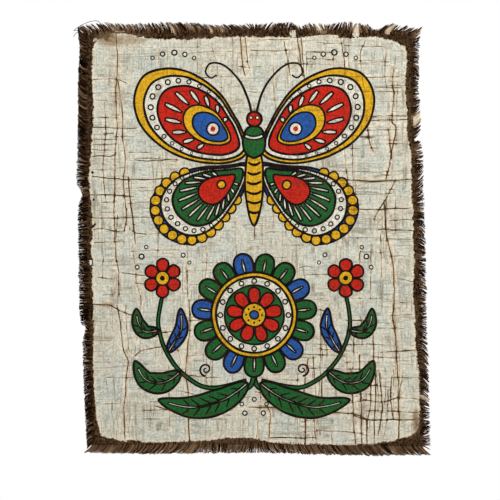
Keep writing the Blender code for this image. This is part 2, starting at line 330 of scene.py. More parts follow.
crackle = {
    "seed": 23,
    "step": 3.6,
    "wander": 0.8,
    "wanderLength": 9,
    "sampleStep": 0.5,
    "halfWidth": 1.2,
    "inkReach": 1.5,
    "crossing": 0.50,          # added ink where two cracks cross
    "haloReach": 5.5,
    "haloFall": 0.7,
    "haloEvery": 4,            # one sample in so many carries a halo
    "leastHalo": 0.05,
    "faintHalo": 0.30,
    "fineX": (-196, 200),
    "fineZ": (-528, -14),
    "fineShare": 0.62,
    "fineCrowding": 0.9,
    "crowdLength": 85,
    "fineTilt": 0.035,
    "fineBend": 0.9,
    "fineStrength": (0.16, 0.5),
    "fineHalo": (0.0, 0.35),
    "fine": [
        {"upright": True, "count": 150, "lengths": (16, 92), "crowdSeed": 3.1},
        {"upright": False, "count": 190, "lengths": (12, 64), "crowdSeed": 8.4},
    ],
    # placed after the photo: mostly upright ones first, then mostly level ones
    "placed": cracksOf(
        (.8, 1, -174, 0, -171, -26, -171, -53, -173, -77, -172, -100, -171, -127),
        (.75, .7, -170, -66, -164, -110, -164, -140, -161, -156, -161, -180, -163, -190, -162, -209, -159,
         -242, -162, -262),
        (.85, .6, -171, -127, -173, -153, -174, -172, -174, -197, -175, -234, -174, -262, -172, -298, -169,
         -316, -169, -346),
        (.55, .3, -186, -110, -186, -142, -189, -169, -188, -201, -184, -228),
        (1, .2, -156, -192, -155, -209, -153, -229, -151, -242, -150, -252, -147, -277),
        (.45, .5, -150, -292, -147, -311, -146, -326, -140, -350, -142, -364, -145, -384, -146, -404),
        (.9, .8, -171, -358, -167, -380, -164, -409, -160, -423, -157, -430, -160, -457, -160, -470, -162,
         -487, -162, -500, -161, -530),
        (.55, .5, -160, -357, -159, -384, -156, -414, -153, -420),
        (.4, .3, -154, -499, -156, -520, -154, -532),
        (.9, .9, -78, -350, -76, -384, -79, -409, -81, -429, -82, -450, -79, -466, -79, -493, -78, -517,
         -77, -534),
        (.45, .4, -82, -299, -79, -349), (.45, .1, -104, -436, -103, -457, -103, -483, -103, -516),
        (.45, .1, -128, -482, -128, -514, -127, -520), (.4, .2, -91, -388, -92, -414, -89, -429, -91, -442),
        (.35, .1, -91, -313, -91, -332), (.5, .1, -86, -191, -83, -220, -83, -239),
        (.35, .1, -114, -182, -112, -222), (.35, .1, -128, -152, -127, -167),
        (.4, .3, -116, -23, -118, -45), (.45, .3, -48, -23, -41, -45, -42, -62),
        (.8, 1, -11, -9, -8, -45, -4, -59), (.6, .8, -4, -10, -2, -38, 1, -52),
        (.6, .4, 46, -15, 50, -36, 54, -59), (.85, .9, 63, -9, 70, -60),
        (.7, .6, 68, -10, 72, -67, 71, -90), (.55, .2, 75, -28, 75, -67), (.5, .2, 110, -26, 110, -67),
        (.8, .6, 120, -15, 125, -59, 121, -143), (.45, .1, 130, -13, 130, -54),
        (.6, .3, 150, -17, 145, -32, 148, -67, 151, -80),
        (.85, .9, 148, -96, 153, -110, 156, -142, 163, -160),
        (.75, .9, 181, -128, 183, -142, 184, -156, 186, -168), (.85, 1, 142, -195, 160, -197, 178, -196),
        (.5, .2, 178, -23, 177, -58, 180, -78),
        (.9, .9, 188, -52, 187, -74, 189, -84, 186, -117, 192, -127, 186, -154, 185, -165, 178, -195),
        (.75, .5, 190, -196, 178, -219, 165, -240, 163, -249),
        (.95, 1, 176, -222, 179, -265, 184, -287, 188, -312, 189, -350, 187, -372, 191, -400, 192, -430,
         195, -463, 195, -483, 195, -508, 194, -531),
        (.5, .2, 200, -442, 196, -480), (.45, .2, 188, -441, 188, -464),
        (1, .4, 170, -446, 172, -474, 173, -493, 168, -526), (.75, .2, 186, -448, 184, -474, 187, -504),
        (.7, .2, 181, -466, 180, -500, 175, -530), (.7, .4, 61, -143, 65, -184, 66, -217),
        (.55, .3, 74, -143, 80, -192, 79, -221), (.45, .2, 87, -197, 91, -235),
        (.7, .4, 123, -143, 129, -209, 128, -232), (.6, .2, 135, -93, 135, -184, 139, -201, 136, -245),
        (.45, .2, 145, -286, 144, -309), (.6, .2, 159, -287, 158, -350), (.65, .3, 171, -268, 173, -322),
        (.9, .5, 161, -377, 162, -417, 164, -444, 164, -477, 163, -508, 163, -536),
        (.75, .2, 145, -372, 147, -384, 147, -412),
        (.9, .5, 144, -422, 144, -457, 146, -480, 146, -516, 147, -537),
        (.95, .5, 133, -440, 135, -473, 136, -510, 139, -538),
        (.95, .4, 156, -430, 158, -466, 158, -486, 154, -508, 153, -536), (.45, .1, 132, -370, 133, -404),
        (.9, .8, 77, -427, 73, -453, 72, -477, 74, -497, 73, -538),
        (.7, .5, 84, -425, 85, -453, 87, -475, 85, -500, 87, -533), (.85, .1, 95, -447, 95, -473, 92, -500),
        (.45, .4, 108, -420, 111, -455), (.5, .5, 14, -458, 15, -487, 10, -530),
        (.8, .8, 24, -453, 24, -487, 28, -500, 26, -530), (.4, .2, -79, -507, -77, -535),
        (.55, .4, -202, -64, -172, -64, -158, -69), (.4, .2, -202, -82, -160, -81),
        (.4, .1, -200, -91, -168, -93), (.55, .1, -200, -114, -172, -114),
        (.75, .1, -202, -126, -172, -127, -158, -128, -146, -127), (.6, .1, -200, -136, -176, -134),
        (.75, .1, -200, -142, -171, -142), (.5, .1, -202, -149, -172, -148),
        (.55, .1, -203, -155, -173, -156), (.95, .1, -202, -164, -192, -163, -179, -164, -172, -159),
        (.55, .1, -155, -159, -128, -159), (.65, .1, -149, -168, -134, -170, -119, -169, -102, -168),
        (.35, .1, -203, -181, -174, -182),
        (.9, .2, -202, -190, -176, -193, -140, -194, -110, -193, -79, -192),
        (.4, .1, -113, -200, -72, -201), (.45, .1, -142, -209, -115, -208, -85, -206),
        (1, .1, -206, -214, -184, -214, -165, -215, -150, -216),
        (.55, .2, -126, -219, -104, -220, -116, -222), (.45, .1, -192, -224, -172, -223),
        (.4, .1, -203, -233, -185, -237, -170, -236),
        (.7, .2, -203, -244, -172, -244, -140, -243, -116, -243, -101, -245),
        (.85, .2, -202, -259, -189, -258, -175, -261, -160, -261),
        (.65, .3, -155, -258, -146, -264, -132, -265, -106, -264),
        (.6, .2, -200, -276, -176, -275, -160, -275), (.4, .1, -196, -300, -160, -300),
        (.65, .3, -165, -315, -145, -318, -123, -320), (.5, .2, -196, -321, -184, -323, -174, -323),
        (.65, .2, -146, -329, -120, -331, -92, -331), (.45, .2, -190, -344, -157, -343),
        (.9, .5, -202, -356, -181, -357, -177, -359, -157, -369, -143, -372),
        (.6, .5, -144, -391, -110, -392, -75, -390), (.45, .3, -142, -394, -104, -393),
        (.4, .4, -132, -399, -94, -398), (.45, .3, -202, -403, -172, -404),
        (.8, .5, -148, -423, -141, -417, -129, -414, -108, -411), (.5, .2, -107, -416, -89, -416),
        (.45, .2, -148, -423, -135, -421, -128, -420), (.4, .1, -71, -420, -53, -421),
        (.7, .4, -124, -444, -109, -446, -96, -447, -79, -450),
        (.85, .2, -121, -449, -103, -451, -79, -449, -58, -450), (.5, .1, -186, -451, -131, -451),
        (.4, .1, -144, -466, -98, -467, -86, -470, -62, -474), (.4, .2, -127, -482, -96, -484),
        (.8, .6, -122, -488, -103, -493, -80, -497, -50, -498, -34, -497), (.6, .2, -137, -494, -106, -493),
        (.5, .4, -79, -501, -46, -500, -24, -501), (.4, .1, -138, -505, -104, -504),
        (.32, .4, -161, -22, -122, -22), (.6, .5, 2, -26, 33, -27, 63, -25), (.45, .5, 2, -13, 54, -12),
        (.55, .3, 125, -20, 176, -21), (.5, .2, 75, -28, 108, -29), (.5, .2, 76, -37, 108, -38),
        (.7, .4, 112, -59, 150, -61, 196, -60), (.6, .2, 75, -65, 110, -64, 145, -66),
        (.5, .2, 167, -74, 203, -75), (.5, .2, 142, -79, 206, -80),
        (.55, .2, 95, -111, 150, -112, 206, -111), (.7, .3, 64, -117, 120, -118, 207, -116),
        (.45, .1, 86, -124, 121, -125), (.5, .2, 150, -130, 196, -129), (.55, .2, 92, -154, 171, -153),
        (.5, .1, 87, -159, 121, -158), (.5, .1, 108, -183, 159, -184),
        (.9, .3, 59, -195, 110, -194, 160, -196, 212, -194), (.5, .1, 80, -200, 132, -199),
        (.55, .1, 80, -220, 138, -219), (.75, .3, 106, -232, 160, -233, 212, -231),
        (.55, .2, 184, -247, 214, -246), (.9, .2, 171, -259, 212, -260), (.55, .2, 181, -271, 212, -272),
        (.45, .1, 145, -288, 177, -289), (.55, .2, 197, -323, 214, -327), (.9, .1, 197, -354, 204, -355),
        (.6, .2, 128, -377, 168, -377), (.6, .3, 184, -371, 212, -369),
        (.5, .2, 104, -409, 150, -408, 187, -409), (.65, .3, 171, -419, 194, -417, 219, -415),
        (.55, .3, 158, -424, 190, -426, 217, -423), (.5, .3, 66, -421, 128, -423),
        (.45, .2, 103, -439, 156, -441), (.65, .4, 148, -480, 174, -483, 194, -478, 221, -479),
        (.9, 1, 2, -490, 38, -491, 72, -495, 92, -497, 131, -498, 151, -504),
        (1, .2, 134, -498, 148, -505, 171, -506, 196, -506, 216, -506),
        (.65, .4, 105, -488, 133, -484, 154, -480), (.6, .2, 154, -494, 187, -495, 219, -497),
        (.6, .3, 88, -520, 130, -522, 154, -526), (.95, .2, 28, -530, 63, -530, 87, -530),
        (.55, .3, 10, -470, 40, -473, 60, -473),
    ),
}


def splined(points, closed, step, fewest):
    # smooth line through the points, in even short steps
    count = len(points)
    line = []
    for index in range(count if closed else count - 1):
        near = [(index + k) % count if closed else min(max(index + k, 0), count - 1) for k in (-1, 0, 1, 2)]
        a, b, c, d = (Vector(points[k]) for k in near)
        pieces = max(fewest, round((c - b).length / step))
        for piece in range(pieces):
            t = piece / pieces
            line.append(0.5 * (2 * b + (c - a) * t + (2 * a - 5 * b + 4 * c - d) * t * t
                               + (3 * b - a - 3 * c + d) * t ** 3))
    if not closed:
        line.append(Vector(points[-1]))
    return line


def wandering(points, seed):
    # a hand-drawn line through the points, with a little wander of its own
    line = splined(points, False, crackle["step"], 1)
    amount, length = crackle["wander"], crackle["wanderLength"]
    for point in line:
        point.x += amount * noise.noise((seed, point.x / length, point.y / length))
        point.y += amount * noise.noise((point.x / length, seed, point.y / length))
    return line


def fineCracks(c):
    # short thin cracks that fill in between the listed ones, closer towards the right
    dice = random.Random(c["seed"])
    found = []
    for kind in c["fine"]:
        wanted = len(found) + kind["count"]
        while len(found) < wanted:
            x, z = dice.uniform(*c["fineX"]), dice.uniform(*c["fineZ"])
            place = (x / c["crowdLength"], kind["crowdSeed"], z / c["crowdLength"])
            crowd = noise.noise(place) + 0.25 * x / 200
            if dice.random() > c["fineShare"] + c["fineCrowding"] * crowd:
                continue
            length = dice.uniform(*kind["lengths"])
            tilt = dice.gauss(0, c["fineTilt"]) * length
            end = (x + tilt, z - length) if kind["upright"] else (x + length, z + tilt)
            middle = [(a + b) / 2 + dice.gauss(0, c["fineBend"]) for a, b in zip((x, z), end)]
            strength, halo = dice.uniform(*c["fineStrength"]), dice.uniform(*c["fineHalo"])
            found.append(Crack(strength, halo, [(x, z), middle, end]))
    return found


# Dyes of the painted design and the few soft spots of the border, linear colour
dyes = {
    "ink": (0.0075, 0.0065, 0.006),
    "red": (0.520, 0.022, 0.012),
    "blue": (0.022, 0.092, 0.330),
    "green": (0.016, 0.112, 0.028),
    "gold": (0.700, 0.390, 0.018),
    "cream": (0.720, 0.690, 0.575),
    "bare": (0.640, 0.590, 0.460),
    "buff": (0.400, 0.330, 0.230),
    "tan": (0.240, 0.150, 0.085),
    "darkBrown": (0.030, 0.016, 0.010),
}

design = {
    "middle": (7.0, -258.0),
    "ink": 3.1,
    "fineInk": 2.2,
    "eyeInk": 2.4,
    "step": 2.3,
    "wobble": 0.75,
    "wobbleLength": 21.0,
    "inkUneven": 0.20,
    "seed": 5,
}
layers = []                  # (outline in mm, dye), painted one over the other


def curve(points, closed=True):
    return splined(points, closed, design["step"], 2)


def signedArea(line):
    return 0.5 * sum(p.x * q.y - q.x * p.y for p, q in zip(line, line[1:] + line[:1]))


def shifted(line, distance):
    # closed line moved outwards, a little unevenly, as a wax pen leaves it
    turn = 1.0 if signedArea(line) > 0 else -1.0
    moved = []
    for before, point, after in zip(line[-1:] + line[:-1], line, line[1:] + line[:1]):
        first, second = (point - before).normalized(), (after - point).normalized()
        normal = Vector((first.y + second.y, -first.x - second.x))
        if normal.length < 0.05:
            normal = Vector((first.y, -first.x))
        normal.normalize()
        miter = 1.0 / max(normal.dot(Vector((first.y, -first.x))), 0.62)
        uneven = 1.0 + design["inkUneven"] * noise.noise((point.x / 14, point.y / 14, 4.0))
        moved.append(point + normal * (turn * distance * miter * uneven))
    return moved


def paint(line, dye):
    # takes a line in the design's own frame to its place on the cloth
    midX, midZ = design["middle"]
    placed = []
    for point in line:
        key = (point.x / design["wobbleLength"], point.y / design["wobbleLength"])
        placed.append((
            midX + point.x + design["wobble"] * noise.noise((key[0], key[1], 1.7)),
            midZ + point.y + design["wobble"] * noise.noise((key[0], key[1], 9.2)),
        ))
    layers.append((placed, dye))


def inked(line, dye, ink=None):
    ink = ink or design["ink"]
    paint(shifted(line, ink / 2), "ink")
    paint(shifted(line, -ink / 2), dye)


def around(x, z, radius, turn):
    return x + radius * math.cos(turn), z + radius * math.sin(turn)


def arcLine(x, z, radius, count):
    return [Vector(around(x, z, radius, math.tau * k / count)) for k in range(count)]


def ringDot(x, z, radius):
    paint(arcLine(x, z, radius, 12), "ink")
    paint(arcLine(x, z, radius * 0.54, 8), "cream")


def alongLine(line):
    # each point of an open line, with its share of the way, its direction and its left
    last = len(line) - 1
    for index, point in enumerate(line):
        way = (line[min(index + 1, last)] - line[max(index - 1, 0)]).normalized()
        yield index / last, point, way, Vector((-way.y, way.x))


def ribbon(line, startWidth, endWidth, swell=0.0):
    # outline of a brush stroke along an open line
    left, right = [], []
    for t, point, _, side in alongLine(line):
        half = 0.5 * (startWidth * (1 - t) + endWidth * t + swell * math.sin(math.pi * t))
        left.append(point + side * half)
        right.append(point - side * half)
    return left + right[::-1]


def straight(start, end, steps):
    return [start.lerp(end, k / steps) for k in range(steps + 1)]


def bow(half, z, sag):
    # level line across the body, hanging in the middle
    return [Vector((x * half, z - sag * (1 - x * x))) for x in np.linspace(-1, 1, 9)]


def mirrored(points, side):
    # side: 1 as given on the right, -1 its mirror image on the left
    return [(side * x, z) for x, z in points]


def evenPlaces(line, spacing, first, last):
    # places at an even spacing along part of a line
    lengths = [0.0]
    for p, q in zip(line, line[1:]):
        lengths.append(lengths[-1] + (q - p).length)
    start, end = lengths[-1] * first, lengths[-1] * last
    count = max(1, round((end - start) / spacing))
    found = []
    for index in range(count + 1):
        goal = start + (end - start) * index / count
        k = max(0, min(len(line) - 2, int(np.searchsorted(lengths, goal)) - 1))
        t = (goal - lengths[k]) / max(lengths[k + 1] - lengths[k], 1e-6)
        found.append(line[k].lerp(line[k + 1], t))
    return found


# In each row of places: share of the wing about its pivot, spacing, first and last share of the rim
upperWing = {
    "line": [(9, 101), (22, 140), (52, 183), (96, 207), (137, 203), (155, 176), (150, 140), (122, 108),
             (80, 89), (36, 86)],
    "pivot": (46, 126),
    "rim": "gold",
    "bumps": None,
    "band": 0.885,
    "dots": (0.806, 14.0, 0.13, 0.84),
    "dotMost": 4.3,
    "dotShare": 0.048,
    "field": 0.725,
    "fieldDye": "red",
    "ribs": (0.645, 19.0, 0.14, 0.80),
    "ribStart": 0.70,
    "ribSteps": 6,
    "ribWidths": (1.6, 3.4, 3.0),
    "heart": [(0.42, "gold", 2.6), (0.31, "blue", 2.4)],
    "eyeShare": 0.20,
    "eye": (8.2, 20, "cream"),
    "pupil": (3.4, 14, "red"),
}
lowerWing = {
    "line": [(8, 84), (36, 82), (78, 78), (116, 62), (134, 34), (128, 4), (104, -16), (78, -19), (52, -4),
             (28, 26), (10, 58)],
    "pivot": (36, 62),
    "rim": "blue",
    "bumps": (0.955, 13.6, 0.24, 0.86),
    "bumpInset": 1.5,
    "bumpRadius": 6.6,
    "band": 0.865,
    "dots": (0.79, 12.0, 0.16, 0.90),
    "dotMost": 3.7,
    "dotShare": 0.052,
    "field": 0.71,
    "fieldDye": "green",
    "ribs": (0.635, 12.5, 0.16, 0.92),
    "ribStart": 0.58,
    "ribSteps": 8,
    "ribWidths": (1.5, 3.0, 1.6),
    "heart": [(0.37, "red", 2.6)],
    "eyeShare": 0.19,
    "eye": (5.6, 16, "gold"),
    "pupil": None,
}
butterfly = {
    "feeler": [(3, 150), (9, 172), (22, 196), (41, 213), (57, 215), (63, 204), (56, 196), (49, 200)],
    "tail": [(0, 4), (7.5, 22), (11.5, 52), (11, 84), (6, 100), (-6, 100), (-11, 84), (-11.5, 52),
             (-7.5, 22)],
    "stripes": 6,
    "stripeStart": 24,
    "stripeStep": 12.5,
    "chest": [(0, 92), (11.5, 99), (14.5, 115), (10, 129), (0, 134), (-10, 129), (-14.5, 115), (-11.5, 99)],
}


def paintWing(wing, side):
    # from the rim inwards
    line = [Vector(place) for place in mirrored([tuple(point) for point in curve(wing["line"])], side)]
    pivot = Vector((side * wing["pivot"][0], wing["pivot"][1]))

    def scaled(share):
        return [pivot + (point - pivot) * share for point in line]

    def places(row):
        return evenPlaces(scaled(row[0]), *row[1:])

    inked(line, wing["rim"])
    if wing["bumps"]:
        inset = wing["bumpInset"]
        for place in places(wing["bumps"]):
            toward = (pivot - place).normalized()
            bump = arcLine(place.x + toward.x * inset, place.y + toward.y * inset, wing["bumpRadius"], 18)
            inked(bump, "gold", design["fineInk"])
    inked(scaled(wing["band"]), "cream")
    for place in places(wing["dots"]):
        ringDot(place.x, place.y, min(wing["dotMost"], wing["dotShare"] * (place - pivot).length))
    inked(scaled(wing["field"]), wing["fieldDye"])
    for place in places(wing["ribs"]):
        rib = straight(pivot.lerp(place, wing["ribStart"]), place, wing["ribSteps"])
        inked(ribbon(rib, *wing["ribWidths"]), "cream", design["fineInk"])
    for share, dye, ink in wing["heart"]:
        inked(scaled(share), dye, ink)
    middle = sum(scaled(wing["eyeShare"]), Vector((0, 0))) / len(line)
    radius, count, dye = wing["eye"]
    inked(arcLine(middle.x, middle.y, radius, count), dye, design["eyeInk"])
    if wing["pupil"]:
        radius, count, dye = wing["pupil"]
        paint(arcLine(middle.x, middle.y, radius, count), dye)


def butterflyBody(b):
    for side in (1, -1):
        paint(ribbon(curve(mirrored(b["feeler"], side), closed=False), 3.4, 2.2), "ink")
    inked(curve(b["tail"]), "gold")
    for level in range(b["stripes"]):
        z = b["stripeStart"] + b["stripeStep"] * level
        half = 7.0 + 2.6 * math.sin(math.pi * (z - 4) / 96)
        paint(ribbon(bow(half, z, 3.4), 2.6, 2.6, 1.0), "ink")
    inked(curve(b["chest"]), "green")
    inked(ribbon(bow(11.5, 121, 3.2), 4.4, 4.4), "cream", design["fineInk"])
    inked(arcLine(0, 142.5, 9.6, 22), "red")
    for x in (-4.2, 4.2):
        ringDot(x, 144.5, 2.9)


def petal(middle, inner, outer, turn, halfAngle, waist):
    # rounded petal between two radii about a flower's middle
    span = outer - inner
    half = [(inner + 0.10 * span, waist), (inner + 0.55 * span, 1.0), (inner + 0.88 * span, 0.66)]
    shape = [(inner, 0), *half, (outer, 0), *[(radius, -spread) for radius, spread in half[::-1]]]
    return curve([around(*middle, radius, turn + spread * halfAngle) for radius, spread in shape])


blossom = {
    "middle": (0, -112),
    "outer": 81.0,
    "outerInner": 53.0,
    "outerCount": 15,
    "outerRib": (56, 73),
    "rimOut": 2.5,
    "rimIn": 3.6,
    "bandInner": 38.5,
    "bandDots": 16,
    "petalCount": 9,
    "heart": 15.5,
    "heartDots": 8,
    "heartDotRing": 10.2,
}


def bigBlossom(b):
    middle = b["middle"]

    def turns(count, shift=0.0, start=math.pi / 2):
        return [math.tau * (index + shift) / count + start for index in range(count)]

    for index, turn in enumerate(turns(b["outerCount"], 0.5)):
        half = 0.46 * math.tau / b["outerCount"]
        dye = "green" if index % 3 else "blue"
        inked(petal(middle, b["outerInner"] - 8, b["outer"], turn, half, 0.8), dye)
        rib = [Vector(around(*middle, radius, turn)) for radius in np.linspace(*b["outerRib"], 8)]
        inked(ribbon(rib, 1.8, 1.2, 2.0), "cream", design["fineInk"])
    inked(arcLine(*middle, b["outerInner"] + b["rimOut"], 72), "gold")
    inked(arcLine(*middle, b["outerInner"] - b["rimIn"], 66), "cream")
    dotRing = (b["outerInner"] - b["rimIn"] + b["bandInner"]) / 2
    for turn in turns(b["bandDots"], start=0.0):
        ringDot(*around(*middle, dotRing, turn), 4.0)
    inked(arcLine(*middle, b["bandInner"], 54), "green", 2.6)
    for turn in turns(b["petalCount"]):
        half = 0.44 * math.tau / b["petalCount"]
        inked(petal(middle, b["heart"] - 6, b["bandInner"] - 2.6, turn, half, 0.7), "red", 2.4)
    inked(arcLine(*middle, b["heart"], 32), "gold", 2.6)
    for turn in turns(b["heartDots"], start=0.0):
        paint(arcLine(*around(*middle, b["heartDotRing"], turn), 1.5, 8), "ink")
    inked(arcLine(*middle, 5.6, 16), "blue", 2.2)


def smallFlower(x, z, size, dye, count=6):
    for index in range(count):
        turn = math.tau * index / count + math.pi / 2
        inked(petal((x, z), 0.16 * size, size, turn, 0.46 * math.tau / count, 0.5), dye, 2.6)
    inked(arcLine(x, z, 0.36 * size, 18), "gold", 2.4)
    paint(arcLine(x, z, 0.13 * size, 10), "ink")


def leaf(spine, half, dye, ribs):
    # pointed leaf along a bent spine, with a pale midrib and side ribs
    line = curve(spine, closed=False)
    last = len(line) - 1
    left, right, ways = [], [], []
    for t, point, way, side in alongLine(line):
        width = half * (math.sin(math.pi * t ** 0.82) ** 0.85 if 0 < t < 1 else 0.0) + 0.6
        left.append(point + side * width)
        right.append(point - side * width)
        ways.append((point, way, side, width))
    inked(left + right[::-1], dye)
    inked(ribbon(line[1:int(0.9 * last)], 3.0, 1.4), "cream", design["fineInk"])
    for rib in range(ribs):
        point, way, side, width = ways[int(last * (0.16 + 0.62 * rib / ribs))]
        for turn in (1, -1):
            tip = point + way * (0.62 * width) + side * (turn * 0.72 * width)
            paint(ribbon(straight(point + side * (turn * 2.2), tip, 5), 2.4, 1.5), "ink")


def spiral(x, z, size, turns, start, hand, startWidth, endWidth):
    line = []
    for k in range(int(26 * turns)):
        t = k / (26 * turns)
        line.append(Vector(around(x, z, size * (1 - t) ** 0.85, start + hand * math.tau * turns * t)))
    paint(ribbon(line, startWidth, endWidth), "ink")


# One half of the plant, mirrored for the other. Leaves: spine, half width, dye, ribs; dots: x, z, radius
plant = {
    "root": [(0, -188), (4, -204), (22, -214)],
    "arm": [(10, -198), (62, -206), (104, -176), (124, -128), (119, -86)],
    "leaves": [
        ([(96, -186), (118, -200), (141, -196), (155, -172)], 12.5, "green", 4),
        ([(112, -160), (100, -142), (94, -126), (96, -104)], 8.0, "blue", 3),
        ([(8, -201), (40, -222), (82, -232), (124, -222)], 15.5, "green", 6),
        ([(124, -132), (141, -134), (151, -122), (153, -104)], 8.5, "green", 3),
    ],
    "flower": (119, -64, 25),
    "spiral": (63, -183, 8.5),
    "dots": [(146, -36, 4.2), (152, -50, 3.4), (140, -24, 3.0), (92, -34, 3.4), (84, -44, 2.8),
             (78, 222, 3.0), (90, 227, 3.8), (104, 229, 4.4), (119, 227, 3.8), (132, 222, 3.0),
             (16, -228, 3.2), (12, -240, 3.8)],
    "middleDot": (0, -222, 3.4),
}


def makeDesign():
    # A butterfly over a blossom between leaves: common motifs, the same on both sides
    for side in (1, -1):
        root = curve(mirrored(plant["root"], side), closed=False)
        inked(ribbon(root, 5.5, 4.5), "green", design["fineInk"])
    for side in (1, -1):
        arm = curve(mirrored(plant["arm"], side), closed=False)
        inked(ribbon(arm, 4.6, 3.6), "green", design["fineInk"])
        for spine, half, dye, ribs in plant["leaves"]:
            leaf(mirrored(spine, side), half, dye, ribs)
        x, z, size = plant["flower"]
        smallFlower(side * x, z, size, "red")
        x, z, size = plant["spiral"]
        spiral(side * x, z, size, 1.6, -0.5 * math.pi, side, 2.8, 1.8)
        for x, z, radius in plant["dots"]:
            ringDot(side * x, z, radius)
    ringDot(*plant["middleDot"])
    bigBlossom(blossom)
    for wing in (lowerWing, upperWing):
        for side in (1, -1):
            paintWing(wing, side)
    butterflyBody(butterfly)


makeDesign()
print("design drawn:", len(layers), "dyed shapes")

# Bare and tan spots that the wax left in the border. Places and sizes in mm; turn in degrees
Spot = namedtuple("Spot", "x z halfX halfZ turn dye")
borderSpots = [
    Spot(57.5, -4.0, 4.0, 5.6, 4, "bare"),
    Spot(97, -1.5, 5.0, 3.4, 0, "tan"),
    Spot(105, -8.0, 12.5, 2.1, -2, "bare"),
    Spot(139, -4.2, 4.4, 4.8, -6, "bare"),
    Spot(-48, -2.0, 2.4, 3.0, 0, "tan"),
    Spot(-96, -3.2, 1.8, 3.4, 8, "tan"),
    Spot(180, -2.6, 3.2, 3.0, 0, "tan"),
    Spot(219, -116, 4.0, 9.0, 0, "bare"),
    Spot(-205.6, -301.8, 3.4, 5.2, 0, "darkBrown"),
    Spot(-205.9, -301.8, 2.3, 3.6, 0, "cream"),
    Spot(-201.8, -254.5, 4.6, 1.5, 42, "darkBrown"),
    Spot(-203, -185, 1.5, 1.9, 30, "darkBrown"),
    Spot(-201.4, -220, 1.3, 2.1, -20, "darkBrown"),
    Spot(-199.6, -12.8, 3.2, 2.0, 35, "buff"),
    Spot(-167, -0.8, 7.5, 1.6, 2, "buff"),
    Spot(226, -477, 1.4, 4.2, 10, "bare"),
]


def paintSpot(spot):
    turn = math.radians(spot.turn)
    line = []
    for k in range(16):
        angle = math.tau * k / 16
        u = spot.halfX * math.copysign(abs(math.cos(angle)) ** 0.75, math.cos(angle))
        v = spot.halfZ * math.copysign(abs(math.sin(angle)) ** 0.75, math.sin(angle))
        rough = 1.0 + 0.28 * noise.noise((spot.x + 0.7 * u, spot.z + 0.7 * v, 3.3))
        line.append((spot.x + rough * (u * math.cos(turn) - v * math.sin(turn)),
                     spot.z + rough * (u * math.sin(turn) + v * math.cos(turn))))
    layers.append((line, spot.dye))


for spot in borderSpots:
    paintSpot(spot)


# The cloth: one sheet, cut into faces along every line of the design and every crack
def clothOutline():
    line = []
    for index, side in enumerate(sides):
        length = (side.end - side.start).length
        count = round(length / cloth["edgeStep"])
        for k in range(count):
            run = length * k / count
            rag = cloth["rag"] * noise.noise((run / 3.5, index * 5.0, 0.0)) if k else 0.0
            line.append(sidePoint(index, run, rag))
    return line


def insidePolygon(px, pz, line):
    # which points lie inside a closed line, by counting crossings
    ax = np.array([p[0] for p in line])
    az = np.array([p[1] for p in line])
    bx, bz = np.roll(ax, -1), np.roll(az, -1)
    found = np.zeros(len(px), bool)
    for x0, z0, x1, z1 in zip(ax, az, bx, bz):
        if z0 == z1:
            continue
        crosses = (z0 > pz) != (z1 > pz)
        found ^= crosses & (px < (x1 - x0) * (pz - z0) / (z1 - z0) + x0)
    return found


class PointStore:
    # collects flat points and leaves out those too near to one that is there
    def __init__(self, cell):
        self.cell = cell
        self.points = []
        self.cells = {}

    def near(self, point, reach):
        cx, cz = int(point[0] // self.cell), int(point[1] // self.cell)
        for i in range(cx - 1, cx + 2):
            for j in range(cz - 1, cz + 2):
                for index in self.cells.get((i, j), ()):
                    other = self.points[index]
                    if (other[0] - point[0]) ** 2 + (other[1] - point[1]) ** 2 < reach * reach:
                        return index
        return None

    def add(self, point, reach=0.0):
        if reach:
            index = self.near(point, reach)
            if index is not None:
                return index
        self.points.append((point[0], point[1]))
        key = (int(point[0] // self.cell), int(point[1] // self.cell))
        self.cells.setdefault(key, []).append(len(self.points) - 1)
        return len(self.points) - 1


# How far a new point has to lie from the ones that are there, in mm
nearest = {"design": 0.12, "crack": 0.30, "crackSide": 0.55, "grid": 1.9, "cut": 0.02}
grid = {"start": (-218, -541), "size": (450, 545), "leastDepth": -0.6}


def crackHalf(strength):
    return crackle["halfWidth"] * (0.75 + 0.35 * strength)


def flatPoints(outline, cracks):
    # points and edges of the flat cloth: outline, design, cracks, their sides, and an even grid
    store = PointStore(2.0)
    ids = [store.add(p) for p in outline]
    edges = list(zip(ids, ids[1:] + ids[:1]))
    for line, _ in layers:
        ids = [store.add(p, nearest["design"]) for p in line]
        edges += [(a, b) for a, b in zip(ids, ids[1:] + ids[:1]) if a != b]
    for line, _, _ in cracks:
        ids = [store.add(p, nearest["crack"]) for p in line]
        edges += [(a, b) for a, b in zip(ids, ids[1:]) if a != b]
    for line, crack, _ in cracks:
        for index, point in enumerate(line):
            way = line[min(index + 1, len(line) - 1)] - line[max(index - 1, 0)]
            side = Vector((-way.y, way.x)).normalized() * crackHalf(crack.strength)
            store.add(point + side, nearest["crackSide"])
            store.add(point - side, nearest["crackSide"])
    step, (startX, startZ) = cloth["gridStep"], grid["start"]
    columns, rows = (int(size / step) + 1 for size in grid["size"])
    for row in range(rows):
        for column in range(columns):
            point = (startX + (column + 0.5 * (row % 2)) * step, startZ + row * step)
            if store.near(point, nearest["grid"]) is None:
                store.add(point)
    return store.points, edges


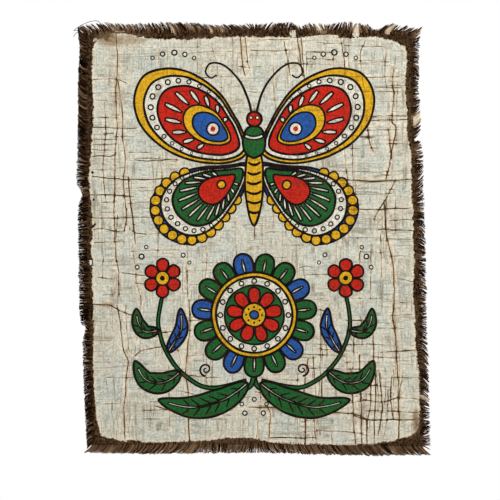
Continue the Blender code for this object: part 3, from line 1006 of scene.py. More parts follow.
def flatMesh(cracks):
    outline = clothOutline()
    places, edges = flatPoints(outline, cracks)
    px, pz = np.array(places).T
    keep = np.min([d for d, _ in insideDepths(px, pz)], axis=0) > grid["leastDepth"]
    keep[:len(outline)] = True
    order = np.cumsum(keep) - 1
    points = [Vector(place) for place, kept in zip(places, keep) if kept]
    edges = [(int(order[a]), int(order[b])) for a, b in edges if keep[a] and keep[b]]
    verts, _, faces, _, _, _ = delaunay_2d_cdt(points, edges, [], 0, nearest["cut"], False)
    flat = np.array([(v.x, v.y) for v in verts])
    triangles = np.array([f for f in faces if len(f) == 3])
    centres = flat[triangles].mean(axis=1)
    triangles = triangles[insidePolygon(centres[:, 0], centres[:, 1], outline)]
    return flat, triangles, flat[triangles].mean(axis=1)


def paintFaces(centres):
    # the last shape painted over a face gives its dye
    colours = np.zeros((len(centres), 4), np.float32)
    order = np.argsort(centres[:, 0])
    xs = centres[order, 0]
    for line, dye in layers:
        lineX, lineZ = [p[0] for p in line], [p[1] for p in line]
        first, last = np.searchsorted(xs, [min(lineX), max(lineX)])
        some = order[first:last]
        some = some[(centres[some, 1] > min(lineZ)) & (centres[some, 1] < max(lineZ))]
        hit = some[insidePolygon(centres[some, 0], centres[some, 1], line)]
        colours[hit] = (*dyes[dye], 1.0)
    return colours


CrackSample = namedtuple("CrackSample", "place strength margin hand base number upright")


def crackSamples(cracks):
    # places along every crack, each line darker and lighter along its way
    samples = []
    for number, (line, crack, hand) in enumerate(cracks):
        upright = float(abs(line[-1].y - line[0].y) > abs(line[-1].x - line[0].x))
        least = 0.30 + 0.50 * crack.strength
        margin = crackle["faintHalo"] * crack.strength + (1 - crackle["faintHalo"]) * crack.halo
        for p, q in zip(line, line[1:]):
            pieces = max(1, round((q - p).length / crackle["sampleStep"]))
            for k in range(pieces):
                at = p.lerp(q, k / pieces)
                broken = noise.noise((at.x / 13, at.y / 13, hand * 3.0 + 5.0))
                darker = max(0.0, noise.noise((at.x / 31, at.y / 31, 40.0)))
                even = min(max(0.95 + 1.0 * broken, least), 1.15)
                strength = crack.strength ** 0.75 * even * (1 + 0.4 * darker)
                samples.append(CrackSample(at, strength, margin, hand, crack.strength, number, upright))
    return samples


def placesTree(samples):
    tree = KDTree(len(samples))
    for index, sample in enumerate(samples):
        tree.insert((sample.place.x, sample.place.y, 0.0), index)
    tree.balance()
    return tree


def crackFields(flat, cracks):
    # how dark the crack is, how strong its halo, and how the cloth is creased, at every vertex
    samples = crackSamples(cracks)
    sparse = [sample for sample in samples[::crackle["haloEvery"]] if sample.margin > crackle["leastHalo"]]
    tree, wide = placesTree(samples), placesTree(sparse)
    haloReach = crackle["haloReach"]
    ink, warm, halo, crease = (np.zeros(len(flat), np.float32) for _ in range(4))
    for index, (x, z) in enumerate(flat):
        best = {}
        for _, found, distance in tree.find_range((x, z, 0.0), crackle["inkReach"]):
            sample = samples[found]
            value = sample.strength * max(0.0, 1.0 - distance / crackHalf(sample.base))
            if value > best.get(sample.number, (0.0,))[0]:
                best[sample.number] = (value, sample.hand, sample.upright)
        if best:
            ranked = sorted(best.values(), reverse=True)
            second = ranked[1][0] if len(ranked) > 1 else 0.0
            ink[index] = ranked[0][0] + crackle["crossing"] * second
            crease[index] = ranked[0][1] * ranked[0][0]
            warm[index] = ranked[0][2]
        for _, found, distance in wide.find_range((x, z, 0.0), haloReach):
            value = sparse[found].margin * (1.0 - distance / haloReach) ** crackle["haloFall"]
            halo[index] = max(halo[index], value)
    return ink, warm, halo, crease


# Where the brown dye seeped in under the wax: soft spots, places and half sizes in mm
Stain = namedtuple("Stain", "x z halfX halfZ strength")
stains = [
    Stain(-186, -8, 21, 12.5, 1.0),
    Stain(-177, -13, 36, 14, 0.62),
    Stain(-152, -11, 34, 13, 0.50),
    Stain(-174, -47, 27, 4, 0.34),
    Stain(217, -508, 7.5, 26, 0.95),
    Stain(-212, -330, 5, 80, 0.30),
    Stain(-210, -110, 5, 60, 0.30),
    Stain(48, -492, 52, 6, 0.48),
    Stain(110, -497, 34, 4, 0.36),
    Stain(-185, -357, 18, 5, 0.50),
    Stain(-105, -449, 26, 4, 0.30),
    Stain(-90, -492, 40, 5, 0.30),
    Stain(-60, -534, 42, 5, 0.45),
    Stain(20, -532, 46, 4, 0.32),
    Stain(-163, -200, 4, 40, 0.25),
    Stain(-77, -440, 4, 70, 0.28),
    Stain(74, -480, 6, 48, 0.36),
    Stain(191, -400, 5, 90, 0.30),
    Stain(66, -30, 5, 26, 0.36),
    Stain(-6, -34, 4, 24, 0.30),
]


def stainField(x, z):
    field = np.zeros_like(x)
    for stain in stains:
        away = np.hypot((x - stain.x) / stain.halfX, (z - stain.z) / stain.halfZ)
        field = np.maximum(field, stain.strength * smooth(1.25 * (1.0 - away)))
    return field


def addAttribute(mesh, name, values):
    layer = mesh.attributes.new(name, "FLOAT", "POINT")
    layer.data.foreach_set("value", np.asarray(values, np.float32))


def readValues(items, name, kind=np.float32):
    # one number of every vertex, corner or face of a mesh
    values = np.empty(len(items), kind)
    items.foreach_get(name, values)
    return values


def plainMesh(obj):
    # the evaluated shape as a plain mesh, with no modifier left
    graph = bpy.context.evaluated_depsgraph_get()
    mesh = bpy.data.meshes.new_from_object(obj.evaluated_get(graph), depsgraph=graph)
    obj.modifiers.clear()
    obj.data = mesh
    return mesh


# The bake's map: the front face takes this share of its width, the back the rest
clothMap = {"front": 0.80, "margin": 0.005, "gap": 0.01, "end": 0.985}


def buildCloth(materials):
    dice = random.Random(crackle["seed"] + 1)
    cracks = []
    for crack in crackle["placed"] + fineCracks(crackle):
        line = wandering(crack.points, dice.uniform(0, 50))
        cracks.append((line, crack, dice.choice((-1.0, 1.0))))
    flat, triangles, centres = flatMesh(cracks)
    print("cloth cut into", len(triangles), "faces")
    x, z = flat[:, 0], flat[:, 1]
    ink, warm, halo, crease = crackFields(flat, cracks)
    gaps = [d - np.interp(s, shareSteps, bandOf[i]) for i, (d, s) in enumerate(insideDepths(x, z))]

    height = foldHeight(x, z)
    height += cloth["pucker"] * noiseAt(x, z, cloth["puckerLength"], 1)
    height += cloth["rumple"] * noiseAt(x, z, cloth["rumpleLength"], 2)
    height += cloth["creaseHeight"] * crease
    places = np.column_stack([x, -(height + 0.5 * cloth["thickness"]), z]) * mm

    mesh = bpy.data.meshes.new("batikCloth")
    mesh.from_pydata(places.tolist(), [], triangles.tolist())
    mesh.shade_smooth()
    addAttribute(mesh, "crackInk", ink)
    addAttribute(mesh, "crackWarm", warm)
    addAttribute(mesh, "crackHalo", halo)
    addAttribute(mesh, "stain", stainField(x, z))
    addAttribute(mesh, "borderGap", softLowest(gaps, cloth["bandBlend"]))
    dyeLayer = mesh.attributes.new("dye", "FLOAT_COLOR", "CORNER")
    dyeLayer.data.foreach_set("color", np.repeat(paintFaces(centres), 3, axis=0).ravel())
    front, margin = clothMap["front"], clothMap["margin"]
    corner, low = flat[triangles.ravel()], flat.min(axis=0)
    uv = (corner - low) / (flat.max(axis=0) - low) * (front - clothMap["gap"], 1.0 - clothMap["gap"]) + margin
    mesh.uv_layers.new(name="OFBake").data.foreach_set("uv", uv.ravel())

    piece = newObject("batik_cloth", mesh)
    for material in materials:
        mesh.materials.append(material)
    solid = piece.modifiers.new("thickness", "SOLIDIFY")
    solid.thickness = cloth["thickness"] * mm
    solid.offset = -1.0
    solid.material_offset = 1
    mesh = plainMesh(piece)

    places = np.empty(len(mesh.loops) * 2, np.float32)
    mesh.uv_layers["OFBake"].data.foreach_get("uv", places)
    places = places.reshape(-1, 2)
    totals = readValues(mesh.polygons, "loop_total", np.int32)
    isBack = np.repeat(readValues(mesh.polygons, "material_index", np.int32) == 1, totals)
    places[isBack, 0] = front + margin + (places[isBack, 0] / front) * (clothMap["end"] - front)
    mesh.uv_layers["OFBake"].data.foreach_set("uv", places.ravel())
    print("cloth finished:", sum(max(0, t - 2) for t in totals), "triangles")
    return piece


# Shader groups used by both faces of the cloth and by its loose threads
class Graph:
    # small helper for shader and geometry nodes: inputs by name, or by place as i0, i1
    def __init__(self, tree):
        self.tree = tree
        self.column = 0

    def add(self, kind, settings=None, **inputs):
        node = self.tree.nodes.new(kind)
        node.location = (self.column * 190, -40 * (self.column % 7))
        self.column += 1
        for key, value in (settings or {}).items():
            setattr(node, key, value)
        for key, value in inputs.items():
            byPlace = key[0] == "i" and key[1:].isdigit()
            self.feed(node.inputs[int(key[1:]) if byPlace else key.replace("_", " ")], value)
        return node

    def feed(self, socket, value):
        if isinstance(value, bpy.types.NodeSocket):
            self.tree.links.new(value, socket)
        else:
            socket.default_value = value

    def math(self, operation, *values, clamp=False):
        node = self.add("ShaderNodeMath", {"operation": operation, "use_clamp": clamp})
        for index, value in enumerate(values):
            self.feed(node.inputs[index], value)
        return node.outputs[0]

    def times(self, *values):
        return reduce(lambda total, value: self.math("MULTIPLY", total, value), values)

    def plus(self, *values, clamp=False):
        return reduce(lambda total, value: self.math("ADD", total, value, clamp=clamp), values)

    def minus(self, first, second):
        return self.math("SUBTRACT", first, second)

    def vector(self, operation, **inputs):
        return self.add("ShaderNodeVectorMath", {"operation": operation}, **inputs).outputs[0]

    def ramp(self, value, low, high, start=0.0, end=1.0):
        # smooth step of a value between two levels
        node = self.add("ShaderNodeMapRange", {"interpolation_type": "SMOOTHSTEP"},
                        Value=value, From_Min=low, From_Max=high, To_Min=start, To_Max=end)
        return node.outputs[0]

    def noise(self, vector, scale, detail=2.0, rough=0.5, distortion=0.0):
        node = self.add("ShaderNodeTexNoise", None, Vector=vector, Scale=scale, Detail=detail,
                        Roughness=rough, Distortion=distortion)
        return node.outputs["Fac"]

    def stretch(self, vector, scale):
        return self.add("ShaderNodeMapping", None, Vector=vector, Scale=scale).outputs[0]

    def mix(self, share, first, second):
        return self.add("ShaderNodeMix", {"data_type": "RGBA"}, i0=share, i6=first, i7=second).outputs[2]

    def attribute(self, name, output="Fac"):
        return self.add("ShaderNodeAttribute", {"attribute_name": name}).outputs[output]


socketKinds = {
    "Vector": "NodeSocketVector", "Brown": "NodeSocketColor", "Geometry": "NodeSocketGeometry",
    "Threads": "NodeSocketInt", "Rings": "NodeSocketInt", "Seed": "NodeSocketInt",
}


def newGroup(name, inputs, outputs, kind="ShaderNodeTree"):
    tree = bpy.data.node_groups.new(name, kind)
    for way, labels in (("INPUT", inputs), ("OUTPUT", outputs)):
        for label in labels:
            socketKind = socketKinds.get(label, "NodeSocketFloat")
            tree.interface.new_socket(label, in_out=way, socket_type=socketKind)
    entry, leave = tree.nodes.new("NodeGroupInput"), tree.nodes.new("NodeGroupOutput")
    leave.location = (2600, 0)
    return tree, Graph(tree), entry.outputs, leave.inputs


def weaveGroup():
    # hand-spun threads over and under, thick and thin, with a height and a shade
    tree, g, given, out = newGroup("handWeave", ["Vector", "Pitch", "Slub"], ["Height", "Shade"])
    where, pitch = given["Vector"], given["Pitch"]
    bent = g.noise(where, 90.0, 1.0)
    split = g.add("ShaderNodeSeparateXYZ", None, Vector=where).outputs
    shift = g.times(g.minus(bent, 0.5), 0.0016)
    across = g.math("DIVIDE", g.plus(split["X"], shift), pitch)
    down = g.math("DIVIDE", g.plus(split["Z"], shift), pitch)
    over = g.times(*[g.math("SINE", g.times(way, math.pi)) for way in (across, down)])
    warp = g.noise(g.stretch(where, (1100.0, 1.0, 30.0)), 1.0, 2.0, 0.6)
    weft = g.noise(g.stretch(where, (30.0, 1.0, 1100.0)), 1.0, 2.0, 0.6)
    slub = g.times(g.minus(g.plus(warp, weft), 1.0), given["Slub"])
    g.feed(out["Height"], g.plus(g.times(g.math("ABSOLUTE", over), 0.6), slub))
    g.feed(out["Shade"], g.plus(0.5, g.plus(g.times(over, 0.10), slub), clamp=True))
    return tree


def cloudGroup():
    # uneven take-up of dye, in broad clouds and small flecks
    tree, g, given, out = newGroup("dyeClouds", ["Vector", "Broad", "Fine"], ["Cloud", "Fleck"])
    g.feed(out["Cloud"], g.noise(given["Vector"], given["Broad"], 3.0, 0.55, 0.4))
    g.feed(out["Fleck"], g.noise(given["Vector"], given["Fine"], 3.0, 0.62))
    return tree


# Hair cracks, by family: scale across and along, half width, strength and seed
hairLines = [
    ((95.0, 1.0, 6.0), 0.034, 0.85, 3.0),
    ((6.0, 1.0, 95.0), 0.030, 0.75, 8.0),
    ((225.0, 1.0, 20.0), 0.052, 0.55, 5.0),
    ((20.0, 1.0, 225.0), 0.052, 0.55, 6.5),
]
crackTones = {
    "level": (0.145, 0.110, 0.058, 1.0),
    "upright": (0.280, 0.143, 0.054, 1.0),
    "core": (0.066, 0.034, 0.012, 1.0),
}


def crackGroup():
    # brown dye that ran into the broken wax: the line, its colour, its pale margin and hair cracks
    tree, g, given, out = newGroup("waxCrackle", ["Vector", "Ink", "Warm", "Halo", "Hair"],
                                   ["Line", "Brown", "Cream", "Tan"])
    where = given["Vector"]
    grain = g.noise(where, 420.0, 2.0, 0.6)
    rough = g.plus(0.62, g.times(grain, 0.76))
    line = g.ramp(g.times(given["Ink"], rough), 0.04, 0.70)
    found = None
    for stretch, width, gain, seed in hairLines:
        field = g.noise(g.stretch(where, stretch), 1.0, 1.0, 0.4)
        thin = g.ramp(g.math("ABSOLUTE", g.minus(field, 0.5)), 0.0, width, gain, 0.0)
        moved = g.vector("ADD", i0=where, i1=(seed, seed, seed))
        one = g.times(thin, g.ramp(g.noise(moved, 38.0, 2.0, 0.6), 0.44, 0.60))
        found = one if found is None else g.math("MAXIMUM", found, one)
    g.feed(out["Line"], g.math("MAXIMUM", line, g.times(found, given["Hair"])))
    warm = g.times(given["Warm"], g.ramp(g.noise(where, 30.0, 2.0), 0.35, 0.6, 0.45, 1.0))
    tone = g.mix(warm, crackTones["level"], crackTones["upright"])
    g.feed(out["Brown"], g.mix(g.ramp(line, 0.70, 1.0), tone, crackTones["core"]))
    cloud = g.noise(where, 62.0, 2.0)
    g.feed(out["Tan"], g.times(g.ramp(given["Halo"], 0.30, 0.95), g.ramp(cloud, 0.44, 0.60)))
    g.feed(out["Cream"], g.ramp(given["Halo"], 0.04, 0.42))
    return tree


groups = {"weave": weaveGroup(), "clouds": cloudGroup(), "crack": crackGroup()}


def useGroup(g, name, **inputs):
    node = g.tree.nodes.new("ShaderNodeGroup")
    node.node_tree = groups[name]
    for key, value in inputs.items():
        g.feed(node.inputs[key], value)
    return node.outputs


clothLook = {
    "groundCool": (0.605, 0.622, 0.540, 1.0),
    "groundWarm": (0.655, 0.620, 0.500, 1.0),
    # painted shade: the grey laid into the troughs of the cloth's small crinkles
    "crinkleShadeGrey": (0.430, 0.440, 0.375, 1.0),
    "cream": (0.790, 0.715, 0.560, 1.0),
    "tan": (0.600, 0.430, 0.255, 1.0),
    "stainTan": (0.360, 0.265, 0.165, 1.0),
    "stainBrown": (0.150, 0.090, 0.044, 1.0),
    "fleck": (0.130, 0.130, 0.100, 1.0),
    "crackInDye": (0.060, 0.030, 0.018, 1.0),
    "borderDark": (0.0105, 0.0050, 0.0016, 1.0),
    "borderBrown": (0.108, 0.060, 0.029, 1.0),
    "borderStain": (0.175, 0.120, 0.070, 1.0),
    "weavePitch": 0.00095,
    "hair": 0.74,
    "roughness": 0.95,
    "specular": 0.03,
}


def newMaterial(name, look):
    material = bpy.data.materials.new(name)
    material.use_nodes = True
    g = Graph(material.node_tree)
    shader = material.node_tree.nodes["Principled BSDF"]
    shader.location = (4800, 0)
    shader.inputs["Roughness"].default_value = look["roughness"]
    shader.inputs["Specular IOR Level"].default_value = look["specular"]
    return material, g, shader.inputs, g.add("ShaderNodeTexCoord").outputs["Object"]


def addBump(g, surface, height, strength):
    bump = g.add("ShaderNodeBump", None, Height=height, Strength=strength, Distance=1.0)
    g.feed(surface["Normal"], bump.outputs[0])


def clothMaterial(name, look, fade):
    # fade: how much of the dye is lost on the way through to this face
    material, g, surface, where = newMaterial(name, look)
    weave = useGroup(g, "weave", Vector=where, Pitch=look["weavePitch"], Slub=0.55)
    clouds = useGroup(g, "clouds", Vector=where, Broad=16.0, Fine=430.0)
    cracks = useGroup(g, "crack", Vector=where, Ink=g.attribute("crackInk"), Warm=g.attribute("crackWarm"),
                      Halo=g.attribute("crackHalo"), Hair=look["hair"])

    # bare cotton: cool where the wax held, warm where it crumbled; painted shade greys the troughs of its
    # small crinkles
    crinkleDepth = g.noise(g.stretch(where, (170.0, 1.0, 150.0)), 1.0, 3.0, 0.66, 0.7)
    ground = g.mix(g.ramp(clouds["Cloud"], 0.38, 0.62), look["groundCool"], look["groundWarm"])
    ground = g.mix(g.times(cracks["Cream"], 0.80), ground, look["cream"])
    # painted shade: greyer where the crinkle field sinks the surface in the bump below
    ground = g.mix(g.times(g.ramp(crinkleDepth, 0.46, 0.74), 0.60), ground, look["crinkleShadeGrey"])
    ground = g.mix(g.times(cracks["Tan"], 0.62), ground, look["tan"])
    specks = g.times(g.ramp(g.noise(g.stretch(where, (760.0, 1.0, 520.0)), 1.0, 1.0), 0.70, 0.78),
                     g.ramp(g.noise(where, 55.0, 1.0), 0.48, 0.62))
    ground = g.mix(g.times(specks, 0.75), ground, look["fleck"])
    soaked = g.ramp(g.noise(where, 150.0, 3.0, 0.6), 0.28, 0.62, 0.62, 1.0)
    seeped = g.times(g.attribute("stain"), soaked)
    ground = g.mix(g.ramp(seeped, 0.0, 0.62), ground, look["stainTan"])
    ground = g.mix(g.ramp(seeped, 0.58, 0.86), ground, look["stainBrown"])

    # border: brown dye with a ragged shore and a pale rim of wax beside it
    gap = g.attribute("borderGap")
    ripple = g.plus(g.times(g.minus(g.noise(where, 135.0, 3.0, 0.6), 0.5), 6.4),
                    g.times(g.minus(g.noise(where, 360.0, 2.0), 0.5), 4.4))
    ragged = g.plus(gap, ripple)
    border = g.ramp(ragged, -0.45, 0.55, 1.0, 0.0)
    clean = g.minus(1.0, g.ramp(seeped, 0.1, 0.5))
    rim = g.times(g.ramp(ragged, 1.2, 4.6, 1.0, 0.0), g.times(clean, 0.70))
    ground = g.mix(rim, ground, look["cream"])
    tide = g.times(g.ramp(ragged, 0.1, 1.6, 1.0, 0.0), g.times(clean, 0.45))
    ground = g.mix(tide, ground, look["tan"])
    blotch = g.noise(g.stretch(where, (360.0, 1.0, 270.0)), 1.0, 3.0, 0.62)
    blotch = g.ramp(g.plus(blotch, g.times(clouds["Cloud"], 0.35)), 0.58, 0.80)
    brown = g.mix(blotch, look["borderDark"], look["borderBrown"])
    brown = g.mix(g.times(g.ramp(gap, -9.0, -1.5, 1.0, 0.0), 0.45), brown, look["borderDark"])
    brown = g.mix(g.times(seeped, 0.70), brown, look["borderStain"])

    # painted design over both
    uneven = g.plus(g.times(clouds["Fleck"], 0.6), g.times(weave["Shade"], 0.4))
    dye = g.vector("SCALE", i0=g.attribute("dye", "Color"), Scale=g.ramp(uneven, 0.30, 0.74, 0.84, 1.16))
    inDye = g.mix(g.times(cracks["Line"], 0.50), dye, look["crackInDye"])
    base = g.mix(cracks["Line"], ground, cracks["Brown"])
    base = g.mix(g.attribute("dye", "Alpha"), g.mix(border, base, brown), inDye)
    if fade:
        # the border's dye soaked right through, the rest only in part
        base = g.mix(g.times(g.minus(1.0, border), fade), base, look["groundWarm"])
    shade = g.ramp(uneven, 0.33, 0.67, 0.68, 1.22)
    g.feed(surface["Base Color"], g.vector("SCALE", i0=base, Scale=shade))

    relief = g.plus(g.times(weave["Height"], 0.00010), g.times(crinkleDepth, -0.00042),
                    g.times(cracks["Line"], -0.00022))
    addBump(g, surface, relief, 0.9)
    return material


threadLook = {
    "dark": (0.0060, 0.0022, 0.0004, 1.0),
    "brown": (0.100, 0.048, 0.021, 1.0),
    # tip: tan of the paler thread ends and the undyed tufts, and the colour of the painted highlights on the
    # tufts
    "tip": (0.430, 0.275, 0.155, 1.0),
    "pale": (0.780, 0.690, 0.520, 1.0),
    "roughness": 0.95,
    "specular": 0.02,
}


def threadMaterial(name, look):
    material, g, surface, where = newMaterial(name, look)
    clouds = useGroup(g, "clouds", Vector=where, Broad=60.0, Fine=900.0)
    outward, shade, pale = g.attribute("outward"), g.attribute("shade"), g.attribute("pale")
    # dark to brown by shade, which holds the threads' own tone and the painted light and dark sides of each
    # tuft
    base = g.mix(g.ramp(shade, 0.30, 0.72), look["dark"], look["brown"])
    # painted highlight: tan on the lit side of the tufts, stronger towards the thread ends
    lit = g.ramp(g.plus(shade, g.times(clouds["Cloud"], 0.3)), 0.78, 0.96)
    base = g.mix(g.times(lit, g.plus(0.34, g.times(outward, 0.62))), base, look["tip"])
    base = g.mix(g.ramp(pale, 0.0, 0.5), base, look["tip"])
    undyed = g.times(g.ramp(pale, 0.45, 0.95), g.ramp(shade, 0.1, 0.6, 0.80, 1.0))
    base = g.mix(undyed, base, look["pale"])
    flecks = g.ramp(clouds["Fleck"], 0.3, 0.7, 0.75, 1.2)
    g.feed(surface["Base Color"], g.vector("SCALE", i0=base, Scale=flecks))
    addBump(g, surface, g.times(clouds["Fleck"], 0.0001), 0.6)
    return material


clothFront = clothMaterial("batikFront", clothLook, 0.0)
clothBack = clothMaterial("batikBack", clothLook, 0.22)
threadDyed = threadMaterial("frayedThread", threadLook)
piece = buildCloth([clothFront, clothBack])
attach(piece, "root")
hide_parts("cloth")


# Frayed edges: Geometry Nodes grow the loose threads from the line of their roots
fringe = {
    "Pitch": 0.00030,          # between two threads
    "Rings": 6,
    "Root": 0.0030,            # start of a thread inside the cloth's edge
    "Thickness": 0.00044,      # radius at the root
    "Taper": 0.38,
    "Clump": 7.0,              # threads that cling together
    "Gather": 0.70,
    "ReachSpread": 0.10,
    "LeanSpread": 0.20,
    "Curl": 0.00045,
    "Lift": 0.0010,
    "Seed": 3,
    "rootStep": 1.5,           # between two points of the line of roots, in mm
    "probe": 2.0,              # how far the ways out and along are felt for, in mm
    "reachNoise": 0.10,
    "reachNoiseLength": 7.0,
    "mapRows": 4,
}

# what differs from side to side; Tone lightens or darkens the threads
sideLook = {
    "fringe_top": {"Pitch": 0.00028, "Clump": 9.0, "LeanSpread": 0.20, "Gather": 0.84, "ReachSpread": 0.16,
                   "Tone": 0.05},
    "fringe_right": {"Clump": 8.0, "LeanSpread": 0.18, "Gather": 0.80, "ReachSpread": 0.13, "Tone": 0.0},
    "fringe_bottom": {"Pitch": 0.00026, "Clump": 8.0, "LeanSpread": 0.04, "Gather": 0.34, "ReachSpread": 0.06,
                      "Tone": 0.12},
    "fringe_left": {"Pitch": 0.00026, "Clump": 7.0, "LeanSpread": 0.06, "Gather": 0.50, "ReachSpread": 0.07,
                    "Tone": -0.09},
}

# Undyed tufts and missing threads: share of the side, half width in shares, paleness, reach
Tuft = namedtuple("Tuft", "share half pale reach")
tufts = {
    "fringe_top": rowsOf(Tuft,
        .095, .014, .25, 1, .27, .006, .75, 1.05, .386, .007, .7, 1, .42, .005, .6, 1, .715, .012, .75, 1,
        .826, .011, 1, 1, .885, .016, 0, .3, .922, .012, .8, 1.05, .944, .007, 0, .45, .663, .004, 0, .35),
    "fringe_right": rowsOf(Tuft,
        .21, .016, 1, 1, .256, .006, 0, .25, .88, .006, .85, 1),
    "fringe_left": rowsOf(Tuft,
        .612, .006, 0, .88, .285, .006, 0, .6),
    "fringe_bottom": rowsOf(Tuft,
        .2, .03, .12, 1, .56, .02, .12, 1),
}


def inUse(sockets, name):
    # the socket of this name that the node's data type leaves in use
    return [socket for socket in sockets if socket.enabled and socket.name == name][0]


def fringeTree(material):
    tree, g, given, leave = newGroup(
        "frayedEdge",
        ["Geometry", "Threads", "Rings", "Seed", "Pitch", "Root", "Thickness", "Taper", "Clump", "Gather",
         "ReachSpread", "LeanSpread", "Curl", "Lift", "Tone"],
        ["Geometry"], "GeometryNodeTree")

    def one(kind, settings=None, **inputs):
        return g.add(kind, settings, **inputs).outputs[0]

    def dice(number, step, low=-1.0, high=1.0):
        seed = g.plus(given["Seed"], step)
        return g.add("FunctionNodeRandomValue", {"data_type": "FLOAT"},
                     i2=low, i3=high, ID=number, Seed=seed).outputs[1]

    path = one("GeometryNodeMeshToCurve", Mesh=given["Geometry"])
    roots = one("GeometryNodeCurveToPoints", {"mode": "COUNT"}, Curve=path, Count=given["Threads"])
    rod = one("GeometryNodeCurvePrimitiveLine")
    strand = one("GeometryNodeResampleCurve", Curve=rod, Count=given["Rings"])
    placed = one("GeometryNodeInstanceOnPoints", Points=roots, Instance=strand)
    strands = one("GeometryNodeRealizeInstances", Geometry=placed)

    index = one("GeometryNodeInputIndex")
    number = g.math("FLOOR", g.math("DIVIDE", g.plus(index, 0.5), given["Rings"]))
    ring = g.minus(index, g.times(number, given["Rings"]))
    t = g.math("DIVIDE", ring, g.minus(given["Rings"], 1.0))

    def atRoot(kind, field):
        node = g.add("GeometryNodeSampleIndex", {"data_type": kind, "domain": "POINT"},
                     Geometry=roots, Index=number)
        g.feed(inUse(node.inputs, "Value"), field)
        return inUse(node.outputs, "Value")

    def stored(name, kind):
        node = g.add("GeometryNodeInputNamedAttribute", {"data_type": kind}, Name=name)
        return atRoot(kind, inUse(node.outputs, "Attribute"))

    place = atRoot("FLOAT_VECTOR", one("GeometryNodeInputPosition"))
    outWay, alongWay, awayWay = (stored(name, "FLOAT_VECTOR") for name in ("outWay", "alongWay", "awayWay"))
    reach, lean, paleness = (stored(name, "FLOAT") for name in ("reach", "lean", "paleness"))

    # threads cling together in tufts, and each tuft has a will of its own
    clump, pitch = given["Clump"], given["Pitch"]
    phase = g.plus(g.math("DIVIDE", number, clump), g.times(dice(number, 11), 0.45))
    tuft = g.math("FLOOR", phase)
    toMiddle = g.times(g.minus(g.plus(tuft, 0.5), phase), g.times(clump, pitch))
    reachSpread, leanSpread = given["ReachSpread"], given["LeanSpread"]
    reachShare = g.plus(g.times(dice(number, 1), reachSpread),
                        g.times(dice(tuft, 2), g.times(reachSpread, 0.8)))
    reachHere = g.times(reach, g.plus(1.0, reachShare))
    leanShare = g.plus(g.times(dice(number, 3), g.times(leanSpread, 0.35)),
                       g.times(dice(tuft, 4), leanSpread))
    leanHere = g.plus(lean, leanShare)
    out = g.minus(g.times(t, g.plus(reachHere, given["Root"])), given["Root"])
    outside = g.math("MAXIMUM", 0.0, out)
    bend = g.math("POWER", g.math("DIVIDE", outside, g.math("MAXIMUM", reachHere, 0.0001)), 1.35)
    sway = g.times(reachHere, leanHere, bend)
    gather = g.times(toMiddle, given["Gather"], bend)
    wave = g.math("SINE", g.plus(g.times(t, dice(number, 5, 3.0, 7.5)), dice(number, 6, 0.0, 6.28)))
    curl = g.times(wave, given["Curl"], bend)
    lifts = [g.times(dice(which, step), given["Lift"], bend) for which, step in ((number, 7), (tuft, 8))]
    level = g.plus(*lifts, g.times(dice(number, 9), 0.00045))
    shift = g.times(dice(number, 10), g.times(pitch, 0.5))
    sideways = g.plus(g.plus(sway, gather), g.plus(curl, shift))
    goal = place
    for way, amount in ((outWay, out), (alongWay, sideways), (awayWay, level)):
        goal = g.vector("ADD", i0=goal, i1=g.vector("SCALE", i0=way, Scale=amount))
    moved = one("GeometryNodeSetPosition", Geometry=strands, Position=goal)
    thin = g.times(given["Thickness"], g.minus(1.0, g.times(given["Taper"], t)))
    thin = g.times(thin, dice(number, 12, 0.75, 1.25))
    moved = one("GeometryNodeSetCurveRadius", Curve=moved, Radius=thin)

    # shade: own tone of each thread and tuft, plus painted light, each tuft lighter on one side and darker on
    # the other
    shade = g.plus(g.times(dice(number, 13, 0.0, 1.0), 0.16), g.times(dice(tuft, 14, 0.0, 1.0), 0.36),
                   g.times(g.minus(phase, tuft), 0.48), given["Tone"])
    for name, value in (("outward", t), ("shade", shade), ("pale", paleness), ("number", number)):
        node = g.add("GeometryNodeStoreNamedAttribute", {"data_type": "FLOAT", "domain": "POINT"},
                     Geometry=moved, Name=name)
        g.feed(inUse(node.inputs, "Value"), value)
        moved = node.outputs[0]
    section = one("GeometryNodeCurvePrimitiveCircle", {"mode": "RADIUS"}, Resolution=3, Radius=1.0)
    tubes = g.add("GeometryNodeCurveToMesh", None, Curve=moved, Profile_Curve=section, Fill_Caps=True)
    if "Scale" in tubes.inputs:
        g.feed(tubes.inputs["Scale"], one("GeometryNodeInputRadius"))
    smoothed = one("GeometryNodeSetShadeSmooth", Geometry=tubes.outputs[0])
    whole = one("GeometryNodeRealizeInstances", Geometry=smoothed)
    g.feed(leave[0], one("GeometryNodeSetMaterial", Geometry=whole, Material=material))
    return tree


def onCloth(flatX, flatZ):
    height = float(foldHeight(np.array([flatX]), np.array([flatZ]))[0])
    return Vector((flatX, -height, flatZ)) * mm


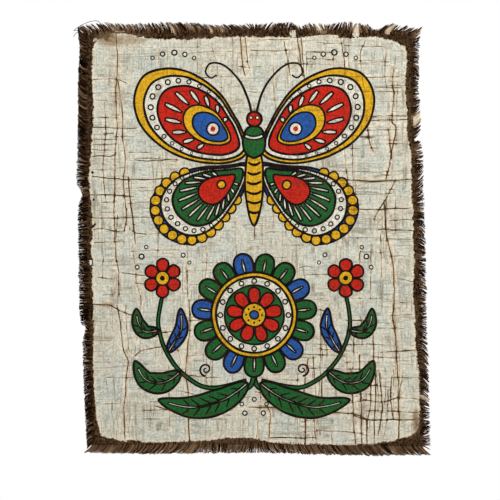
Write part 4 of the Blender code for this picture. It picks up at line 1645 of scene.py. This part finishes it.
def rootLine(index, side):
    # the edge as a line of points, each with the ways in which its threads may go
    direction, _, length = sideFrame(side)
    count = round(length / fringe["rootStep"])
    probe = fringe["probe"]
    places, found = [], {name: [] for name in ("outWay", "alongWay", "awayWay", "reach", "lean", "paleness")}
    for k in range(count + 1):
        run, share = length * k / count, k / count
        here, out = sidePoint(index, run, 0), sidePoint(index, run, probe)
        on = here + direction * probe if run + probe > length else sidePoint(index, run + probe, 0)
        base = onCloth(here.x, here.y)
        reach = along(side.fray, share, "reach")
        pale = 0.0
        for tuft in tufts.get(side.name, ()):
            near = max(0.0, 1.0 - abs(share - tuft.share) / tuft.half)
            pale = max(pale, tuft.pale * min(1.0, 2.0 * near))
            reach *= 1.0 + (tuft.reach - 1.0) * float(smooth(2.0 * near))
        uneven = noise.noise((run / fringe["reachNoiseLength"], index * 3.0, 2.0))
        reach *= 1.0 + fringe["reachNoise"] * uneven
        places.append(base)
        found["outWay"].append((onCloth(out.x, out.y) - base).normalized())
        found["alongWay"].append((onCloth(on.x, on.y) - base).normalized())
        found["awayWay"].append(Vector((0.0, -1.0, 0.0)))
        found["reach"].append(reach * mm)
        found["lean"].append(math.tan(math.radians(along(side.fray, share, "lean"))))
        found["paleness"].append(pale)
    mesh = bpy.data.meshes.new(side.name)
    mesh.from_pydata(places, [(k, k + 1) for k in range(count)], [])
    for name, values in found.items():
        if name.endswith("Way"):
            layer = mesh.attributes.new(name, "FLOAT_VECTOR", "POINT")
            layer.data.foreach_set("vector", np.array(values, np.float32).ravel())
        else:
            addAttribute(mesh, name, values)
    return mesh, length * mm


# The few long strays at the top left corner, places in mm
strays = {
    "radius": 0.42,
    "before": 0.6,             # how far they stand before the cloth's middle
    "shade": 0.50,
    "corners": [(1.0, 0.0), (-0.5, 0.87), (-0.5, -0.87)],   # of the section, away and sideways
    "lines": [
        [(-227.2, -0.9), (-222, 3), (-215.5, 6.9), (-206.4, 10.8), (-197.3, 12.1), (-193.4, 9.5),
         (-189.5, 3), (-187, -2)],
        [(-227.6, -0.6), (-222.6, -0.9), (-217.5, -3.2), (-212, -7)],
        [(-227.2, -9.4), (-224.6, -4.8), (-221.0, -3.4), (-214, -6)],
    ],
}


def addStrays(mesh, threads):
    # three-sided tubes through the points, with the same attributes as the grown threads
    grown = bmesh.new()
    grown.from_mesh(mesh)
    fields = [grown.verts.layers.float[name] for name in ("outward", "shade", "pale", "number")]
    away = Vector((0.0, -1.0, 0.0)) * strays["radius"] * mm
    before = Vector((0.0, -strays["before"], 0.0)) * mm
    for index, points in enumerate(strays["lines"]):
        rings = []
        for t, point, _, left in alongLine(curve(points, closed=False)):
            side = Vector((left.x, 0.0, left.y)) * strays["radius"] * mm
            middle = onCloth(point.x, point.y) + before
            ring = [grown.verts.new(middle + away * a + side * s) for a, s in strays["corners"]]
            for vert in ring:
                for field, value in zip(fields, (t, strays["shade"], 0.0, threads + index)):
                    vert[field] = value
            rings.append(ring)
        for first, second in zip(rings, rings[1:]):
            for k in range(3):
                face = grown.faces.new((first[k], first[(k + 1) % 3], second[(k + 1) % 3], second[k]))
                face.smooth = True
        grown.faces.new(rings[0][::-1])
        grown.faces.new(rings[-1])
    bmesh.ops.recalc_face_normals(grown, faces=grown.faces)
    grown.to_mesh(mesh)
    grown.free()
    return threads + len(strays["lines"])


def threadUv(mesh, threads):
    # each thread gets its own narrow upright strip of the bake's map
    loops = readValues(mesh.loops, "vertex_index", np.int32)
    number, outward = (readValues(mesh.attributes[name].data, "value")[loops]
                       for name in ("number", "outward"))
    rows, corner = fringe["mapRows"], loops % 3
    columns = math.ceil(threads / rows)
    u = (number // rows + 0.15 + 0.7 * corner / 2) / columns
    v = (number % rows + 0.04 + 0.92 * outward) / rows
    layer = mesh.uv_layers.new(name="OFBake")
    layer.data.foreach_set("uv", np.column_stack([u, v]).astype(np.float32).ravel())


def buildFringe(index, side, tree):
    mesh, length = rootLine(index, side)
    piece = newObject("threads_" + side.name.split("_")[1], mesh)
    chosen = {**fringe, **sideLook[side.name]}
    threads = round(length / chosen["Pitch"])
    grow = piece.modifiers.new("frayedEdge", "NODES")
    grow.node_group = tree
    chosen.update(Threads=threads, Seed=fringe["Seed"] + 20 * index)
    for item in tree.interface.items_tree:
        if item.item_type == "SOCKET" and item.in_out == "INPUT" and item.name in chosen:
            grow[item.identifier] = chosen[item.name]
    mesh = plainMesh(piece)
    if side.name == "fringe_top":
        threads = addStrays(mesh, threads)
    threadUv(mesh, threads)
    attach(piece, "root")
    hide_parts(side.name)
    print(side.name, "has", threads, "threads,", len(mesh.polygons), "faces")
    return piece


tree = fringeTree(threadDyed)
fringes = [buildFringe(index, side, tree) for index, side in enumerate(sides)]
